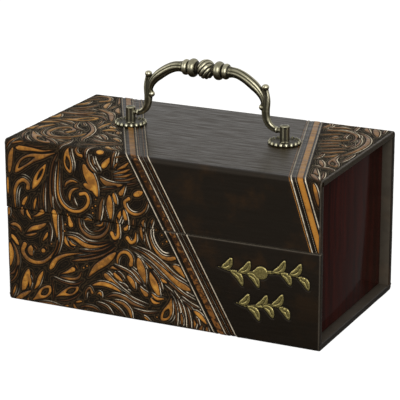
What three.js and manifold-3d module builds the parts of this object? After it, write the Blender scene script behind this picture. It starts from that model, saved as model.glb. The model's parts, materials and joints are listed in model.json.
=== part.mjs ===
// Etrog box: leather-wrapped boards round a wooden tray, with a hinged lid, a hinged front flap
// and a cast bail handle. Millimetres, +Z up, front towards -Y, origin under the middle of the base.

import * as THREE from 'three';
import { mergeVertices } from 'three/addons/utils/BufferGeometryUtils.js';
import Module from 'manifold-3d';

// Box
const boxLength = 192;
const boxDepth = 110;
const boxHeight = 96.5;
const panelThickness = 4;
const flapHeight = 40.7;
const flapProud = 0.6;
const seamGap = 0.4;
const foldGap = 0.3;
const foldRadius = 3;
const foldThickness = 1.6;
const baseEdgeRadius = 2.6;
const seamEdgeRadius = 0.8;

// Leather and boards
const leatherThickness = 0.8;
const glueGap = 0.1;
const turnIn = 12;

// Wooden tray
const endRecess = 6;
const endThickness = 5;
const wallThickness = 3;
const floorThickness = 3;
const seatGap = 0.2;
const wallRise = 12;
const lidClearance = 0.3;

// Linings
const velvetThickness = 1;
const velvetDrop = 2;
const linerThickness = 1.5;
const linerMargin = 1.2;
const flapLinerThickness = 0.9;
const cushionClearance = 0.4;
const cushionEdge = 5;
const cushionCrown = 5;
const cushionTuck = 1.6;

// Magnets
const magnetRadius = 5;
const magnetThickness = 1.6;
const magnetInset = 15;
const magnetHeight = 6;
const magnetClearance = 0.2;

// Handle
const postPitch = 96;
const handleOffsetX = 2;
const handleOffsetY = 2.8;
const rosetteRadius = 9.5;
const rosetteThickness = 1.9;
const rosetteLobes = 16;
const rosetteLobeDepth = 0.7;
const postRadius = 3.3;
const postHeight = 8.4;
const postFlangeRadius = 4.7;
const postFlangeHeight = 1.2;
const pivotHeight = 7;
const gripRise = 29.9;
const gripHalfLength = 14.4;
const gripRadius = 6;
const gripNeckRadius = 3;
const beadRadius = 5.45;
const beadPlace = 8;
const beadHalfLength = 2.5;
const collarRadius = 4.5;
const collarPlace = 12.4;
const collarHalfLength = 1.9;
const swirlHalfLength = 4.5;
const swirlLobes = 8;
const swirlTurn = 0.9;
const archRadius = 3.05;
const archEndRadius = 1.5;
const archFlutes = 8;
const archFluteDepth = 0.22;
const stemRadius = 2.1;
const stemEndRadius = 1.7;
const stemGroove = 0.45;
const knobRadius = 2.15;
const scrollBallRadius = 2.25;
const pinRadius = 1.5;
const pinClearance = 0.2;
const pinTipGap = 0.5;

// Fasteners
const screwRadius = 2;
const screwHeadRadius = 3.6;
const screwHeadHeight = 1.9;
const screwEngagement = 2.4;
const screwClearance = 0.2;
const threadClearance = 0.1;
const washerRadius = 4.6;
const washerThickness = 0.7;
const washerGap = 0.1;
const headAccessGap = 1.2;

// Facets and cuts
const overrun = 1;
const roundSegments = 24;
const edgeSegments = 6;
const ballSegments = 12;
const archSteps = 14;
const stemSteps = 16;
const stemSides = 16;

// Places that several pieces share
const rightX = boxLength / 2;
const frontY = -boxDepth / 2;
const backY = boxDepth / 2;
const lowerFrontY = frontY + flapProud;
const topZ = boxHeight;
const skin = leatherThickness + glueGap;
const boardThickness = panelThickness - 2 * skin;
const foldTopZ = topZ - panelThickness - foldGap;
const flapBottomZ = topZ - flapHeight + seamGap / 2;
const seamZ = topZ - flapHeight - seamGap / 2;
const lidFrontY = frontY + panelThickness + foldGap;
const lidBackY = backY - panelThickness - foldGap;
const trayFrontY = lowerFrontY + panelThickness + seatGap;
const trayBackY = backY - panelThickness - seatGap;
const trayBottomZ = panelThickness + seatGap;
const trayFloorZ = trayBottomZ + floorThickness;
const trayTopZ = topZ - panelThickness - lidClearance;
const endOuterX = rightX - endRecess;
const endInnerX = endOuterX - endThickness;
const wallX = endInnerX - seatGap;
const frontWallTopZ = seamZ + wallRise;
const frontWallInnerY = trayFrontY + wallThickness;
const backWallInnerY = trayBackY - wallThickness;
const liningInnerX = wallX - velvetThickness;
const liningFrontY = frontWallInnerY + seatGap + velvetThickness;
const liningBackY = backWallInnerY - seatGap - velvetThickness;
const liningBottomZ = trayFloorZ + seatGap;
const liningTopZ = trayTopZ - velvetDrop;
const linerX = liningInnerX - linerMargin;
const linerTopZ = topZ - panelThickness - seatGap;
const magnetX = endInnerX - magnetInset;
const magnetZ = flapBottomZ + magnetHeight;
const pivotZ = topZ + pivotHeight;
const rosetteBottomZ = topZ + glueGap;
const rosetteTopZ = rosetteBottomZ + rosetteThickness;
const postBottomZ = rosetteTopZ + glueGap;
const postTopZ = postBottomZ + postHeight;
const lidBoardBottomZ = topZ - panelThickness + skin;
const washerBottomZ = lidBoardBottomZ - washerGap - washerThickness;
const screwHeadTopZ = washerBottomZ - washerGap;
const screwTopZ = postBottomZ + screwEngagement;

const wasm = await Module();
wasm.setup();

const finishes = {
  leather: new THREE.MeshStandardMaterial({ color: 0x3b2a22, roughness: 0.45, metalness: 0 }),
  greyboard: new THREE.MeshStandardMaterial({ color: 0x8d8578, roughness: 0.95, metalness: 0 }),
  mahogany: new THREE.MeshStandardMaterial({ color: 0x3a1512, roughness: 0.25, metalness: 0 }),
  plywood: new THREE.MeshStandardMaterial({ color: 0x9c7a52, roughness: 0.7, metalness: 0 }),
  velvet: new THREE.MeshStandardMaterial({ color: 0x4a1620, roughness: 1, metalness: 0 }),
  antiqueNickel: new THREE.MeshStandardMaterial({ color: 0x7d7a66, roughness: 0.35, metalness: 1 }),
  steel: new THREE.MeshStandardMaterial({ color: 0xa0a0a0, roughness: 0.4, metalness: 1 }),
};

const box = new THREE.Group();
const sides = { left: -1, right: 1 };

function addPiece(name, geometry, finish) {
  const mesh = new THREE.Mesh(geometry, finish);
  mesh.name = name;
  box.add(mesh);
}

// A solid for joining and cutting, from a closed geometry
function toSolid(geometry) {
  const plain = new THREE.BufferGeometry();
  plain.setAttribute('position', geometry.getAttribute('position').clone());
  if (geometry.index) {
    plain.setIndex(geometry.index.clone());
  }
  const merged = mergeVertices(plain, 1e-5);
  return new wasm.Manifold(new wasm.Mesh({
    numProp: 3,
    vertProperties: new Float32Array(merged.getAttribute('position').array),
    triVerts: new Uint32Array(merged.index.array),
  }));
}

function toGeometry(solid) {
  const mesh = solid.getMesh();
  const geometry = new THREE.BufferGeometry();
  geometry.setAttribute('position', new THREE.BufferAttribute(new Float32Array(mesh.vertProperties), 3));
  geometry.setIndex(new THREE.BufferAttribute(new Uint32Array(mesh.triVerts), 1));
  geometry.computeVertexNormals();
  return geometry;
}

// A plain block between two limits on each axis
function block(x, y, z) {
  const geometry = new THREE.BoxGeometry(x[1] - x[0], y[1] - y[0], z[1] - z[0]);
  geometry.translate((x[0] + x[1]) / 2, (y[0] + y[1]) / 2, (z[0] + z[1]) / 2);
  return geometry;
}

// The same block, larger by a clearance all round
function grown(x, y, z, clearance) {
  const wider = (limits) => [limits[0] - clearance, limits[1] + clearance];
  return toSolid(block(wider(x), wider(y), wider(z)));
}

// A section drawn in (y, z), run along X between two limits
function runAlongX(section, x) {
  const geometry = new THREE.ExtrudeGeometry(section, {
    depth: x[1] - x[0],
    bevelEnabled: false,
    curveSegments: edgeSegments,
  });
  const turn = new THREE.Matrix4().makeBasis(
    new THREE.Vector3(0, 1, 0),
    new THREE.Vector3(0, 0, 1),
    new THREE.Vector3(1, 0, 0),
  );
  geometry.applyMatrix4(turn);
  geometry.translate(x[0], 0, 0);
  return geometry;
}

// A round rod or disc on an axis through centre
function rod(radius, length, axis, centre) {
  const geometry = new THREE.CylinderGeometry(radius, radius, length, roundSegments);
  if (axis === 'x') {
    geometry.rotateZ(Math.PI / 2);
  }
  if (axis === 'z') {
    geometry.rotateX(Math.PI / 2);
  }
  geometry.translate(centre[0], centre[1], centre[2]);
  return geometry;
}

// A turned form: [radius, height] pairs round a vertical axis at (x, y)
function turned(profile, x, y) {
  const points = profile.map(([radius, height]) => new THREE.Vector2(radius, height));
  const geometry = new THREE.LatheGeometry(points, roundSegments);
  geometry.rotateX(Math.PI / 2);
  geometry.translate(x, y, 0);
  return geometry;
}

// A section swept along a curve in the XZ plane: the section's radius, lobes and turn follow the curve
function swept(curve, steps, sidesRound, radiusAt) {
  const positions = [];
  const indices = [];
  const across = new THREE.Vector3(0, 1, 0);
  for (let step = 0; step <= steps; step += 1) {
    const share = step / steps;
    const centre = curve.getPoint(share);
    const outward = new THREE.Vector3().crossVectors(across, curve.getTangent(share)).normalize();
    for (let side = 0; side < sidesRound; side += 1) {
      const angle = (side / sidesRound) * 2 * Math.PI;
      const radius = radiusAt(share, angle);
      const point = centre.clone();
      point.addScaledVector(outward, radius * Math.cos(angle));
      point.addScaledVector(across, radius * Math.sin(angle));
      positions.push(point.x, point.y, point.z);
    }
  }
  for (let step = 0; step < steps; step += 1) {
    for (let side = 0; side < sidesRound; side += 1) {
      const next = (side + 1) % sidesRound;
      const near = step * sidesRound;
      const far = near + sidesRound;
      indices.push(near + side, near + next, far + side);
      indices.push(near + next, far + next, far + side);
    }
  }
  const capEnds = [[0, 0, true], [1, steps * sidesRound, false]];
  for (const [share, ring, atStart] of capEnds) {
    const centre = curve.getPoint(share);
    const hub = positions.length / 3;
    positions.push(centre.x, centre.y, centre.z);
    for (let side = 0; side < sidesRound; side += 1) {
      const next = (side + 1) % sidesRound;
      if (atStart) {
        indices.push(hub, ring + next, ring + side);
      } else {
        indices.push(hub, ring + side, ring + next);
      }
    }
  }
  const geometry = new THREE.BufferGeometry();
  geometry.setAttribute('position', new THREE.Float32BufferAttribute(positions, 3));
  geometry.setIndex(indices);
  return geometry;
}

// Stiff boards, each inside its leather

const boardX = [-rightX + skin, rightX - skin];
const innerX = [-rightX + turnIn, rightX - turnIn];

const baseBoard = {
  y: [lowerFrontY + skin, backY - skin],
  z: [skin, skin + boardThickness],
};
const frontBoard = {
  y: [lowerFrontY + skin, lowerFrontY + skin + boardThickness],
  z: [skin + boardThickness + glueGap, seamZ - skin],
};
const backBoard = {
  y: [backY - skin - boardThickness, backY - skin],
  z: [skin + boardThickness + glueGap, foldTopZ - skin],
};
const lidBoard = {
  y: [lidFrontY + skin, lidBackY - skin],
  z: [lidBoardBottomZ, lidBoardBottomZ + boardThickness],
};
const flapBoard = {
  y: [frontY + skin, frontY + skin + boardThickness],
  z: [flapBottomZ + skin, foldTopZ - skin],
};

function baseSection(y, z, radius) {
  const section = new THREE.Shape();
  section.moveTo(y[0], z[1]);
  section.lineTo(y[0], z[0] + radius);
  section.absarc(y[0] + radius, z[0] + radius, radius, Math.PI, 1.5 * Math.PI);
  section.lineTo(y[1] - radius, z[0]);
  section.absarc(y[1] - radius, z[0] + radius, radius, 1.5 * Math.PI, 2 * Math.PI);
  section.lineTo(y[1], z[1]);
  return section;
}

function addBoards() {
  const baseRadius = baseEdgeRadius - skin;
  addPiece('base_board', runAlongX(baseSection(baseBoard.y, baseBoard.z, baseRadius), boardX), finishes.greyboard);
  addPiece('front_board', block(boardX, frontBoard.y, frontBoard.z), finishes.greyboard);
  addPiece('back_board', block(boardX, backBoard.y, backBoard.z), finishes.greyboard);

  let lid = toSolid(block(boardX, lidBoard.y, lidBoard.z));
  let flap = toSolid(block(boardX, flapBoard.y, flapBoard.z));
  for (const side of Object.values(sides)) {
    const postX = handleOffsetX + (side * postPitch) / 2;
    const screwHole = rod(screwRadius + screwClearance, boardThickness + 2 * overrun, 'z',
      [postX, handleOffsetY, lidBoardBottomZ + boardThickness / 2]);
    lid = lid.subtract(toSolid(screwHole));
    const magnetHole = rod(magnetRadius + magnetClearance, boardThickness + 2 * overrun, 'y',
      [side * magnetX, frontY + skin + boardThickness / 2, magnetZ]);
    flap = flap.subtract(toSolid(magnetHole));
  }
  addPiece('lid_board', toGeometry(lid), finishes.greyboard);
  addPiece('flap_board', toGeometry(flap), finishes.greyboard);
}

// The leather sheet: a skin over each board's outside and edges, turned in round the inside face

function caseSection() {
  const section = new THREE.Shape();
  const bottom = baseEdgeRadius;
  const top = seamEdgeRadius;
  section.moveTo(lowerFrontY + top, seamZ);
  section.absarc(lowerFrontY + top, seamZ - top, top, Math.PI / 2, Math.PI);
  section.lineTo(lowerFrontY, bottom);
  section.absarc(lowerFrontY + bottom, bottom, bottom, Math.PI, 1.5 * Math.PI);
  section.lineTo(backY - bottom, 0);
  section.absarc(backY - bottom, bottom, bottom, 1.5 * Math.PI, 2 * Math.PI);
  section.lineTo(backY, foldTopZ);
  section.lineTo(backY - panelThickness, foldTopZ);
  section.lineTo(backY - panelThickness, panelThickness);
  section.lineTo(lowerFrontY + panelThickness, panelThickness);
  section.lineTo(lowerFrontY + panelThickness, seamZ);
  return section;
}

function addCaseCover() {
  let cover = toSolid(runAlongX(caseSection(), [-rightX, rightX]));
  const roundedBase = baseSection(
    [baseBoard.y[0] - glueGap, baseBoard.y[1] + glueGap],
    [baseBoard.z[0] - glueGap, baseBoard.z[1] + glueGap],
    baseEdgeRadius - leatherThickness,
  );
  cover = cover.subtract(toSolid(runAlongX(roundedBase, [boardX[0] - glueGap, boardX[1] + glueGap])));
  cover = cover.subtract(grown(boardX, frontBoard.y, frontBoard.z, glueGap));
  cover = cover.subtract(grown(boardX, backBoard.y, backBoard.z, glueGap));
  const windows = [
    [[lowerFrontY + skin, lowerFrontY + panelThickness + overrun], [panelThickness - skin, seamZ - turnIn]],
    [[lowerFrontY + skin, backY - skin], [panelThickness - skin, panelThickness + overrun]],
    [[backY - panelThickness - overrun, backY - skin], [panelThickness - skin, foldTopZ - turnIn]],
  ];
  for (const [y, z] of windows) {
    cover = cover.subtract(toSolid(block(innerX, y, z)));
  }
  addPiece('case_cover', toGeometry(cover), finishes.leather);
}

function addLidCover() {
  const y = [lidFrontY, lidBackY];
  let cover = toSolid(block([-rightX, rightX], y, [topZ - panelThickness, topZ]));
  cover = cover.subtract(grown(boardX, lidBoard.y, lidBoard.z, glueGap));
  const window = block(
    innerX,
    [lidFrontY + turnIn, lidBackY - turnIn],
    [topZ - panelThickness - overrun, lidBoardBottomZ],
  );
  cover = cover.subtract(toSolid(window));
  for (const side of Object.values(sides)) {
    const postX = handleOffsetX + (side * postPitch) / 2;
    const hole = rod(screwRadius + screwClearance, leatherThickness + 2 * overrun, 'z',
      [postX, handleOffsetY, topZ - leatherThickness / 2]);
    cover = cover.subtract(toSolid(hole));
  }
  addPiece('lid_cover', toGeometry(cover), finishes.leather);
}

function addFlapCover() {
  const section = new THREE.Shape();
  const radius = seamEdgeRadius;
  section.moveTo(frontY, foldTopZ);
  section.lineTo(frontY, flapBottomZ + radius);
  section.absarc(frontY + radius, flapBottomZ + radius, radius, Math.PI, 1.5 * Math.PI);
  section.lineTo(frontY + panelThickness, flapBottomZ);
  section.lineTo(frontY + panelThickness, foldTopZ);
  let cover = toSolid(runAlongX(section, [-rightX, rightX]));
  cover = cover.subtract(grown(boardX, flapBoard.y, flapBoard.z, glueGap));
  const window = block(
    innerX,
    [frontY + panelThickness - skin, frontY + panelThickness + overrun],
    [flapBottomZ + turnIn, foldTopZ - turnIn],
  );
  cover = cover.subtract(toSolid(window));
  addPiece('flap_cover', toGeometry(cover), finishes.leather);
}

// The bend of the sheet at a top edge: an angle of leather with a round corner, front or back
function addFold(name, edgeY, inward) {
  const section = new THREE.Shape();
  const inner = foldRadius - foldThickness;
  const start = edgeY + inward * panelThickness;
  const cornerY = edgeY + inward * foldRadius;
  const cornerZ = topZ - foldRadius;
  section.moveTo(start, topZ);
  section.lineTo(cornerY, topZ);
  section.absarc(cornerY, cornerZ, foldRadius, Math.PI / 2, inward > 0 ? Math.PI : 0, inward < 0);
  section.lineTo(edgeY, topZ - panelThickness);
  section.lineTo(edgeY + inward * foldThickness, topZ - panelThickness);
  section.lineTo(edgeY + inward * foldThickness, cornerZ);
  section.absarc(cornerY, cornerZ, inner, inward > 0 ? Math.PI : 0, Math.PI / 2, inward > 0);
  section.lineTo(start, topZ - foldThickness);
  addPiece(name, runAlongX(section, [-rightX, rightX]), finishes.leather);
}

// The tray: polished end panels, with thin walls and a floor between them

function addTray() {
  for (const [name, side] of Object.entries(sides)) {
    const x = [side * endInnerX, side * endOuterX].sort((a, b) => a - b);
    addPiece(`tray_${name}_end`, block(x, [trayFrontY, trayBackY], [trayBottomZ, trayTopZ]), finishes.mahogany);
  }
  const x = [-wallX, wallX];
  addPiece('tray_floor', block(x, [trayFrontY, trayBackY], [trayBottomZ, trayFloorZ]), finishes.plywood);
  const wallBottomZ = trayFloorZ + glueGap;
  const backY0 = trayBackY - wallThickness;
  addPiece('tray_back_wall', block(x, [backY0, trayBackY], [wallBottomZ, trayTopZ]), finishes.plywood);

  let wall = toSolid(block(x, [trayFrontY, frontWallInnerY], [wallBottomZ, frontWallTopZ]));
  for (const side of Object.values(sides)) {
    const pocketDepth = magnetThickness + magnetClearance;
    const pocket = rod(magnetRadius + magnetClearance, 2 * pocketDepth, 'y',
      [side * magnetX, trayFrontY, magnetZ]);
    wall = wall.subtract(toSolid(pocket));
  }
  addPiece('tray_front_wall', toGeometry(wall), finishes.plywood);
}

function addMagnets() {
  for (const [name, side] of Object.entries(sides)) {
    const x = side * magnetX;
    const wallY = trayFrontY + magnetThickness / 2;
    addPiece(`wall_magnet_${name}`, rod(magnetRadius, magnetThickness, 'y', [x, wallY, magnetZ]), finishes.steel);
    const flapY = frontY + skin + boardThickness / 2;
    addPiece(`flap_magnet_${name}`, rod(magnetRadius, magnetThickness, 'y', [x, flapY, magnetZ]), finishes.steel);
  }
}

// Velvet on the inside

function addLinings() {
  const y = [liningFrontY, liningBackY];
  for (const [name, side] of Object.entries(sides)) {
    const sideX = [side * liningInnerX, side * wallX].sort((a, b) => a - b);
    addPiece(`lining_${name}`, block(sideX, y, [liningBottomZ, liningTopZ]), finishes.velvet);
  }
  const x = [-wallX, wallX];
  const frontLiningY = [liningFrontY - velvetThickness, liningFrontY - glueGap];
  const backLiningY = [liningBackY + glueGap, liningBackY + velvetThickness];
  const frontLiningZ = [liningBottomZ, frontWallTopZ - velvetDrop];
  addPiece('lining_front', block(x, frontLiningY, frontLiningZ), finishes.velvet);
  addPiece('lining_back', block(x, backLiningY, [liningBottomZ, liningTopZ]), finishes.velvet);

  let liner = toSolid(block(
    [-linerX, linerX],
    [liningFrontY + linerMargin, liningBackY - linerMargin],
    [linerTopZ - linerThickness, linerTopZ],
  ));
  for (const side of Object.values(sides)) {
    const postX = handleOffsetX + (side * postPitch) / 2;
    const access = rod(washerRadius + headAccessGap, linerThickness + 2 * overrun, 'z',
      [postX, handleOffsetY, linerTopZ - linerThickness / 2]);
    liner = liner.subtract(toSolid(access));
  }
  addPiece('lid_liner', toGeometry(liner), finishes.velvet);

  const flapLinerY = frontY + panelThickness + glueGap;
  addPiece('flap_liner', block(
    [-linerX, linerX],
    [flapLinerY, flapLinerY + flapLinerThickness],
    [frontWallTopZ + linerMargin, linerTopZ - linerThickness - linerMargin],
  ), finishes.velvet);
}

// A flat-bottomed pad with a crowned top and sides drawn in between its corners
function addCushion() {
  const columns = 24;
  const rows = 14;
  const halfX = liningInnerX - cushionClearance;
  const halfY = (liningBackY - liningFrontY) / 2 - cushionClearance;
  const middleY = (liningBackY + liningFrontY) / 2;
  const bottomZ = trayFloorZ + cushionClearance;
  const bulge = (share) => 1 - share ** 4;
  const positions = [];
  const indices = [];
  for (const layer of [0, 1]) {
    for (let row = 0; row <= rows; row += 1) {
      for (let column = 0; column <= columns; column += 1) {
        const u = (2 * column) / columns - 1;
        const v = (2 * row) / rows - 1;
        const x = u * (halfX - cushionTuck * bulge(v) * u * u);
        const y = v * (halfY - cushionTuck * bulge(u) * v * v);
        const rise = cushionEdge + cushionCrown * bulge(u) * bulge(v);
        positions.push(x, middleY + y, bottomZ + layer * rise);
      }
    }
  }
  const across = columns + 1;
  const layerSize = across * (rows + 1);
  const quad = (a, b, c, d) => indices.push(a, b, c, a, c, d);
  for (let row = 0; row < rows; row += 1) {
    for (let column = 0; column < columns; column += 1) {
      const a = row * across + column;
      quad(a, a + across, a + across + 1, a + 1);
      const top = a + layerSize;
      quad(top, top + 1, top + across + 1, top + across);
    }
  }
  for (let column = 0; column < columns; column += 1) {
    const back = rows * across + column;
    quad(column, column + 1, column + 1 + layerSize, column + layerSize);
    quad(back + 1, back, back + layerSize, back + 1 + layerSize);
  }
  for (let row = 0; row < rows; row += 1) {
    const left = row * across;
    const right = left + columns;
    quad(left + across, left, left + layerSize, left + across + layerSize);
    quad(right, right + across, right + across + layerSize, right + layerSize);
  }
  const geometry = new THREE.BufferGeometry();
  geometry.setAttribute('position', new THREE.Float32BufferAttribute(positions, 3));
  geometry.setIndex(indices);
  addPiece('floor_cushion', geometry, finishes.velvet);
}

// Handle: a scalloped rosette and a drilled post at each end, and a cast bail between them

function rosetteGeometry(x) {
  const stepsPerLobe = 4;
  const bevel = rosetteThickness / 4;
  const steps = rosetteLobes * stepsPerLobe;
  const outline = [];
  for (let step = 0; step < steps; step += 1) {
    const angle = (step / steps) * 2 * Math.PI;
    const radius = rosetteRadius - bevel - rosetteLobeDepth * Math.abs(Math.sin((rosetteLobes / 2) * angle));
    outline.push(new THREE.Vector2(radius * Math.cos(angle), radius * Math.sin(angle)));
  }
  const rim = new THREE.ExtrudeGeometry(new THREE.Shape(outline), {
    depth: bevel,
    bevelThickness: bevel,
    bevelSize: bevel,
    bevelSegments: 2,
  });
  rim.translate(x, handleOffsetY, rosetteBottomZ + bevel);
  const rimTopZ = rosetteBottomZ + 3 * bevel;
  const bossRadius = postFlangeRadius + bevel;
  const boss = turned([
    [0, rosetteBottomZ + bevel],
    [bossRadius + 2 * bevel, rosetteBottomZ + bevel],
    [bossRadius + 2 * bevel, rimTopZ],
    [bossRadius, rosetteTopZ],
    [0, rosetteTopZ],
  ], x, handleOffsetY);
  const hole = rod(screwRadius + screwClearance, rosetteThickness + 2 * overrun, 'z',
    [x, handleOffsetY, rosetteBottomZ + rosetteThickness / 2]);
  return toGeometry(toSolid(rim).add(toSolid(boss)).subtract(toSolid(hole)));
}

function postGeometry(side) {
  const x = handleOffsetX + (side * postPitch) / 2;
  const shoulderZ = postBottomZ + postFlangeHeight;
  const domeZ = postTopZ - postRadius / 2;
  const lip = postRadius / 12;
  const shank = turned([
    [0, postBottomZ],
    [postFlangeRadius, postBottomZ],
    [postFlangeRadius, shoulderZ - lip],
    [postRadius + lip, shoulderZ + lip],
    [postRadius, shoulderZ + 2 * lip],
    [postRadius, domeZ - 2 * lip],
    [postRadius + lip, domeZ - lip],
    [postRadius + lip, domeZ],
    [postRadius * Math.cos(Math.PI / 6), domeZ + (postTopZ - domeZ) / 2],
    [postRadius / 2, postTopZ - lip],
    [0, postTopZ],
  ], x, handleOffsetY);
  const pinReach = postRadius * 2 / 3;
  const boreLength = postRadius + pinReach + overrun;
  const boreMiddle = x - side * (boreLength / 2 - pinReach);
  const bore = rod(pinRadius + pinClearance, boreLength, 'x', [boreMiddle, handleOffsetY, pivotZ]);
  const threadLength = screwEngagement + screwClearance + overrun;
  const thread = rod(screwRadius + threadClearance, threadLength, 'z',
    [x, handleOffsetY, postBottomZ - overrun + threadLength / 2]);
  return toGeometry(toSolid(shank).subtract(toSolid(bore)).subtract(toSolid(thread)));
}

// Turned grip: necks, two beads and two collars, as [distance from the middle, radius] pairs
function gripProfile() {
  const profile = [];
  const rounded = (place, halfLength, radius) => {
    const steps = 6;
    for (let step = 0; step <= steps; step += 1) {
      const share = (2 * step) / steps - 1;
      const height = Math.sqrt(Math.max(0, 1 - share * share));
      profile.push([place + share * halfLength, gripNeckRadius + (radius - gripNeckRadius) * height]);
    }
  };
  profile.push([0, gripNeckRadius]);
  rounded(beadPlace, beadHalfLength, beadRadius);
  rounded(collarPlace, collarHalfLength, collarRadius);
  profile.push([gripHalfLength, gripNeckRadius]);
  return profile;
}

// Places along one side of the bail, as shares of half the post pitch and of the grip's rise
const archShares = [
  [0.385, 0.99], [0.469, 0.943], [0.594, 0.816], [0.667, 0.702], [0.708, 0.585], [0.717, 0.485], [0.696, 0.4],
];
const stemShares = [
  [0.75, 0.79], [0.767, 0.635], [0.769, 0.475], [0.769, 0.348], [0.781, 0.217], [0.8125, 0.1], [0.86, 0.03],
  [0.908, 0],
];

function bailSide(side) {
  const place = ([alongShare, riseShare]) => new THREE.Vector3(
    handleOffsetX + (side * alongShare * postPitch) / 2,
    handleOffsetY,
    pivotZ + riseShare * gripRise,
  );
  const archStart = new THREE.Vector3(
    handleOffsetX + side * (gripHalfLength - collarHalfLength / 2),
    handleOffsetY,
    pivotZ + gripRise,
  );
  const arch = new THREE.CatmullRomCurve3([archStart, ...archShares.map(place)]);
  const archSides = 4 * archFlutes;
  const archTube = swept(arch, archSteps, archSides, (share, angle) => {
    const taper = THREE.MathUtils.smoothstep(share, 0.35, 1);
    const fading = 1 - taper / 2;
    const radius = archRadius + (archEndRadius - archRadius) * taper;
    return radius - archFluteDepth * fading * (1 + Math.cos(archFlutes * angle)) / 2;
  });
  const stem = new THREE.CatmullRomCurve3(stemShares.map(place));
  const stemTube = swept(stem, stemSteps, stemSides, (share, angle) => {
    const radius = THREE.MathUtils.lerp(stemRadius, stemEndRadius, share * share);
    return radius - stemGroove * Math.sin(angle) ** 8;
  });
  const knob = new THREE.SphereGeometry(knobRadius, ballSegments, ballSegments / 2);
  const knobCentre = place(stemShares[0]);
  knob.translate(knobCentre.x, knobCentre.y, knobCentre.z);
  const ball = new THREE.SphereGeometry(scrollBallRadius, ballSegments, ballSegments / 2);
  const ballCentre = place(archShares[archShares.length - 1]);
  ball.translate(ballCentre.x, ballCentre.y, ballCentre.z);
  const stemEnd = place(stemShares[stemShares.length - 1]);
  const pinEnd = handleOffsetX + side * (postPitch / 2 + postRadius * 2 / 3 - pinTipGap);
  const pin = rod(pinRadius, Math.abs(pinEnd - stemEnd.x), 'x', [(pinEnd + stemEnd.x) / 2, handleOffsetY, pivotZ]);
  return [archTube, stemTube, knob, ball, pin];
}

function bailGeometry() {
  const half = gripProfile();
  const mirrored = half.slice(1).reverse().map(([place, radius]) => [-place, radius]);
  const profile = [...mirrored, ...half].map(([place, radius]) => new THREE.Vector2(radius, place));
  const ends = [new THREE.Vector2(0, -gripHalfLength), new THREE.Vector2(0, gripHalfLength)];
  const grip = new THREE.LatheGeometry([ends[0], ...profile, ends[1]], roundSegments);
  grip.rotateZ(-Math.PI / 2);
  grip.translate(handleOffsetX, handleOffsetY, pivotZ + gripRise);
  let bail = toSolid(grip);

  const swirlAxis = new THREE.LineCurve3(
    new THREE.Vector3(handleOffsetX - swirlHalfLength, handleOffsetY, pivotZ + gripRise),
    new THREE.Vector3(handleOffsetX + swirlHalfLength, handleOffsetY, pivotZ + gripRise),
  );
  const lobeDepth = gripRadius / 10;
  const swirl = swept(swirlAxis, 12, 4 * swirlLobes, (share, angle) => {
    const along = 2 * share - 1;
    const swell = Math.sqrt(1 - 0.8 * along * along);
    const lobe = (1 + Math.cos(swirlLobes * (angle + swirlTurn * along))) / 2;
    return gripRadius * swell - lobeDepth * lobe;
  });
  bail = bail.add(toSolid(swirl));
  for (const side of Object.values(sides)) {
    for (const geometry of bailSide(side)) {
      bail = bail.add(toSolid(geometry));
    }
  }
  return toGeometry(bail);
}

function addHandle() {
  for (const [name, side] of Object.entries(sides)) {
    const x = handleOffsetX + (side * postPitch) / 2;
    addPiece(`${name}_rosette`, rosetteGeometry(x), finishes.antiqueNickel);
    addPiece(`${name}_post`, postGeometry(side), finishes.antiqueNickel);
    const washer = turned([
      [screwRadius + screwClearance, washerBottomZ],
      [washerRadius, washerBottomZ],
      [washerRadius, washerBottomZ + washerThickness],
      [screwRadius + screwClearance, washerBottomZ + washerThickness],
      [screwRadius + screwClearance, washerBottomZ],
    ], x, handleOffsetY);
    addPiece(`${name}_washer`, washer, finishes.steel);
    const screw = turned([
      [0, screwHeadTopZ - screwHeadHeight],
      [screwHeadRadius / 2, screwHeadTopZ - screwHeadHeight],
      [screwHeadRadius, screwHeadTopZ - screwHeadHeight / 2],
      [screwHeadRadius, screwHeadTopZ],
      [screwRadius, screwHeadTopZ],
      [screwRadius, screwTopZ],
      [0, screwTopZ],
    ], x, handleOffsetY);
    addPiece(`${name}_screw`, screw, finishes.steel);
  }
  addPiece('bail', bailGeometry(), finishes.antiqueNickel);
}

addBoards();
addCaseCover();
addLidCover();
addFlapCover();
addFold('lid_fold', backY, -1);
addFold('flap_fold', frontY, 1);
addTray();
addMagnets();
addLinings();
addCushion();
addHandle();

export default box;
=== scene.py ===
import functools
import json
import math

import bmesh
import bpy
import numpy as np
from mathutils import Matrix, Vector


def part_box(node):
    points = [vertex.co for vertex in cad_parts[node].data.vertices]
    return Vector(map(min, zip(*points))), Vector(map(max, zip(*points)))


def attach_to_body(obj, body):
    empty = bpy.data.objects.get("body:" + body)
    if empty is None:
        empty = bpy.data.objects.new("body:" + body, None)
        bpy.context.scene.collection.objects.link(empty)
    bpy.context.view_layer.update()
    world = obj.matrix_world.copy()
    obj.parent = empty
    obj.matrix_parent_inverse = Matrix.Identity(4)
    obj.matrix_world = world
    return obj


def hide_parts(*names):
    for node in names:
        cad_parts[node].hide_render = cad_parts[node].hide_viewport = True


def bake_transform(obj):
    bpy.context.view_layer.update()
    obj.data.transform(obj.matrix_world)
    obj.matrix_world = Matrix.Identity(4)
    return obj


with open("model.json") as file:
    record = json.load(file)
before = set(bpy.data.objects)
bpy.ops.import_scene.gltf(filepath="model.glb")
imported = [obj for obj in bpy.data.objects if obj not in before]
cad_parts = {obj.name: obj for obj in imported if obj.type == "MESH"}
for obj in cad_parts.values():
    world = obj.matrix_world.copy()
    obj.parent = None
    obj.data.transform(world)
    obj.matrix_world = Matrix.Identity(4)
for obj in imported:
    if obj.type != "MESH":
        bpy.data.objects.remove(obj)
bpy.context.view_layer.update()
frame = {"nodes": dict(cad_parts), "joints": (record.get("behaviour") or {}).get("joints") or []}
scene = bpy.context.scene
mm = 0.001


def limits(node):
    low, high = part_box(node)
    return np.array(low) / mm, np.array(high) / mm


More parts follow.
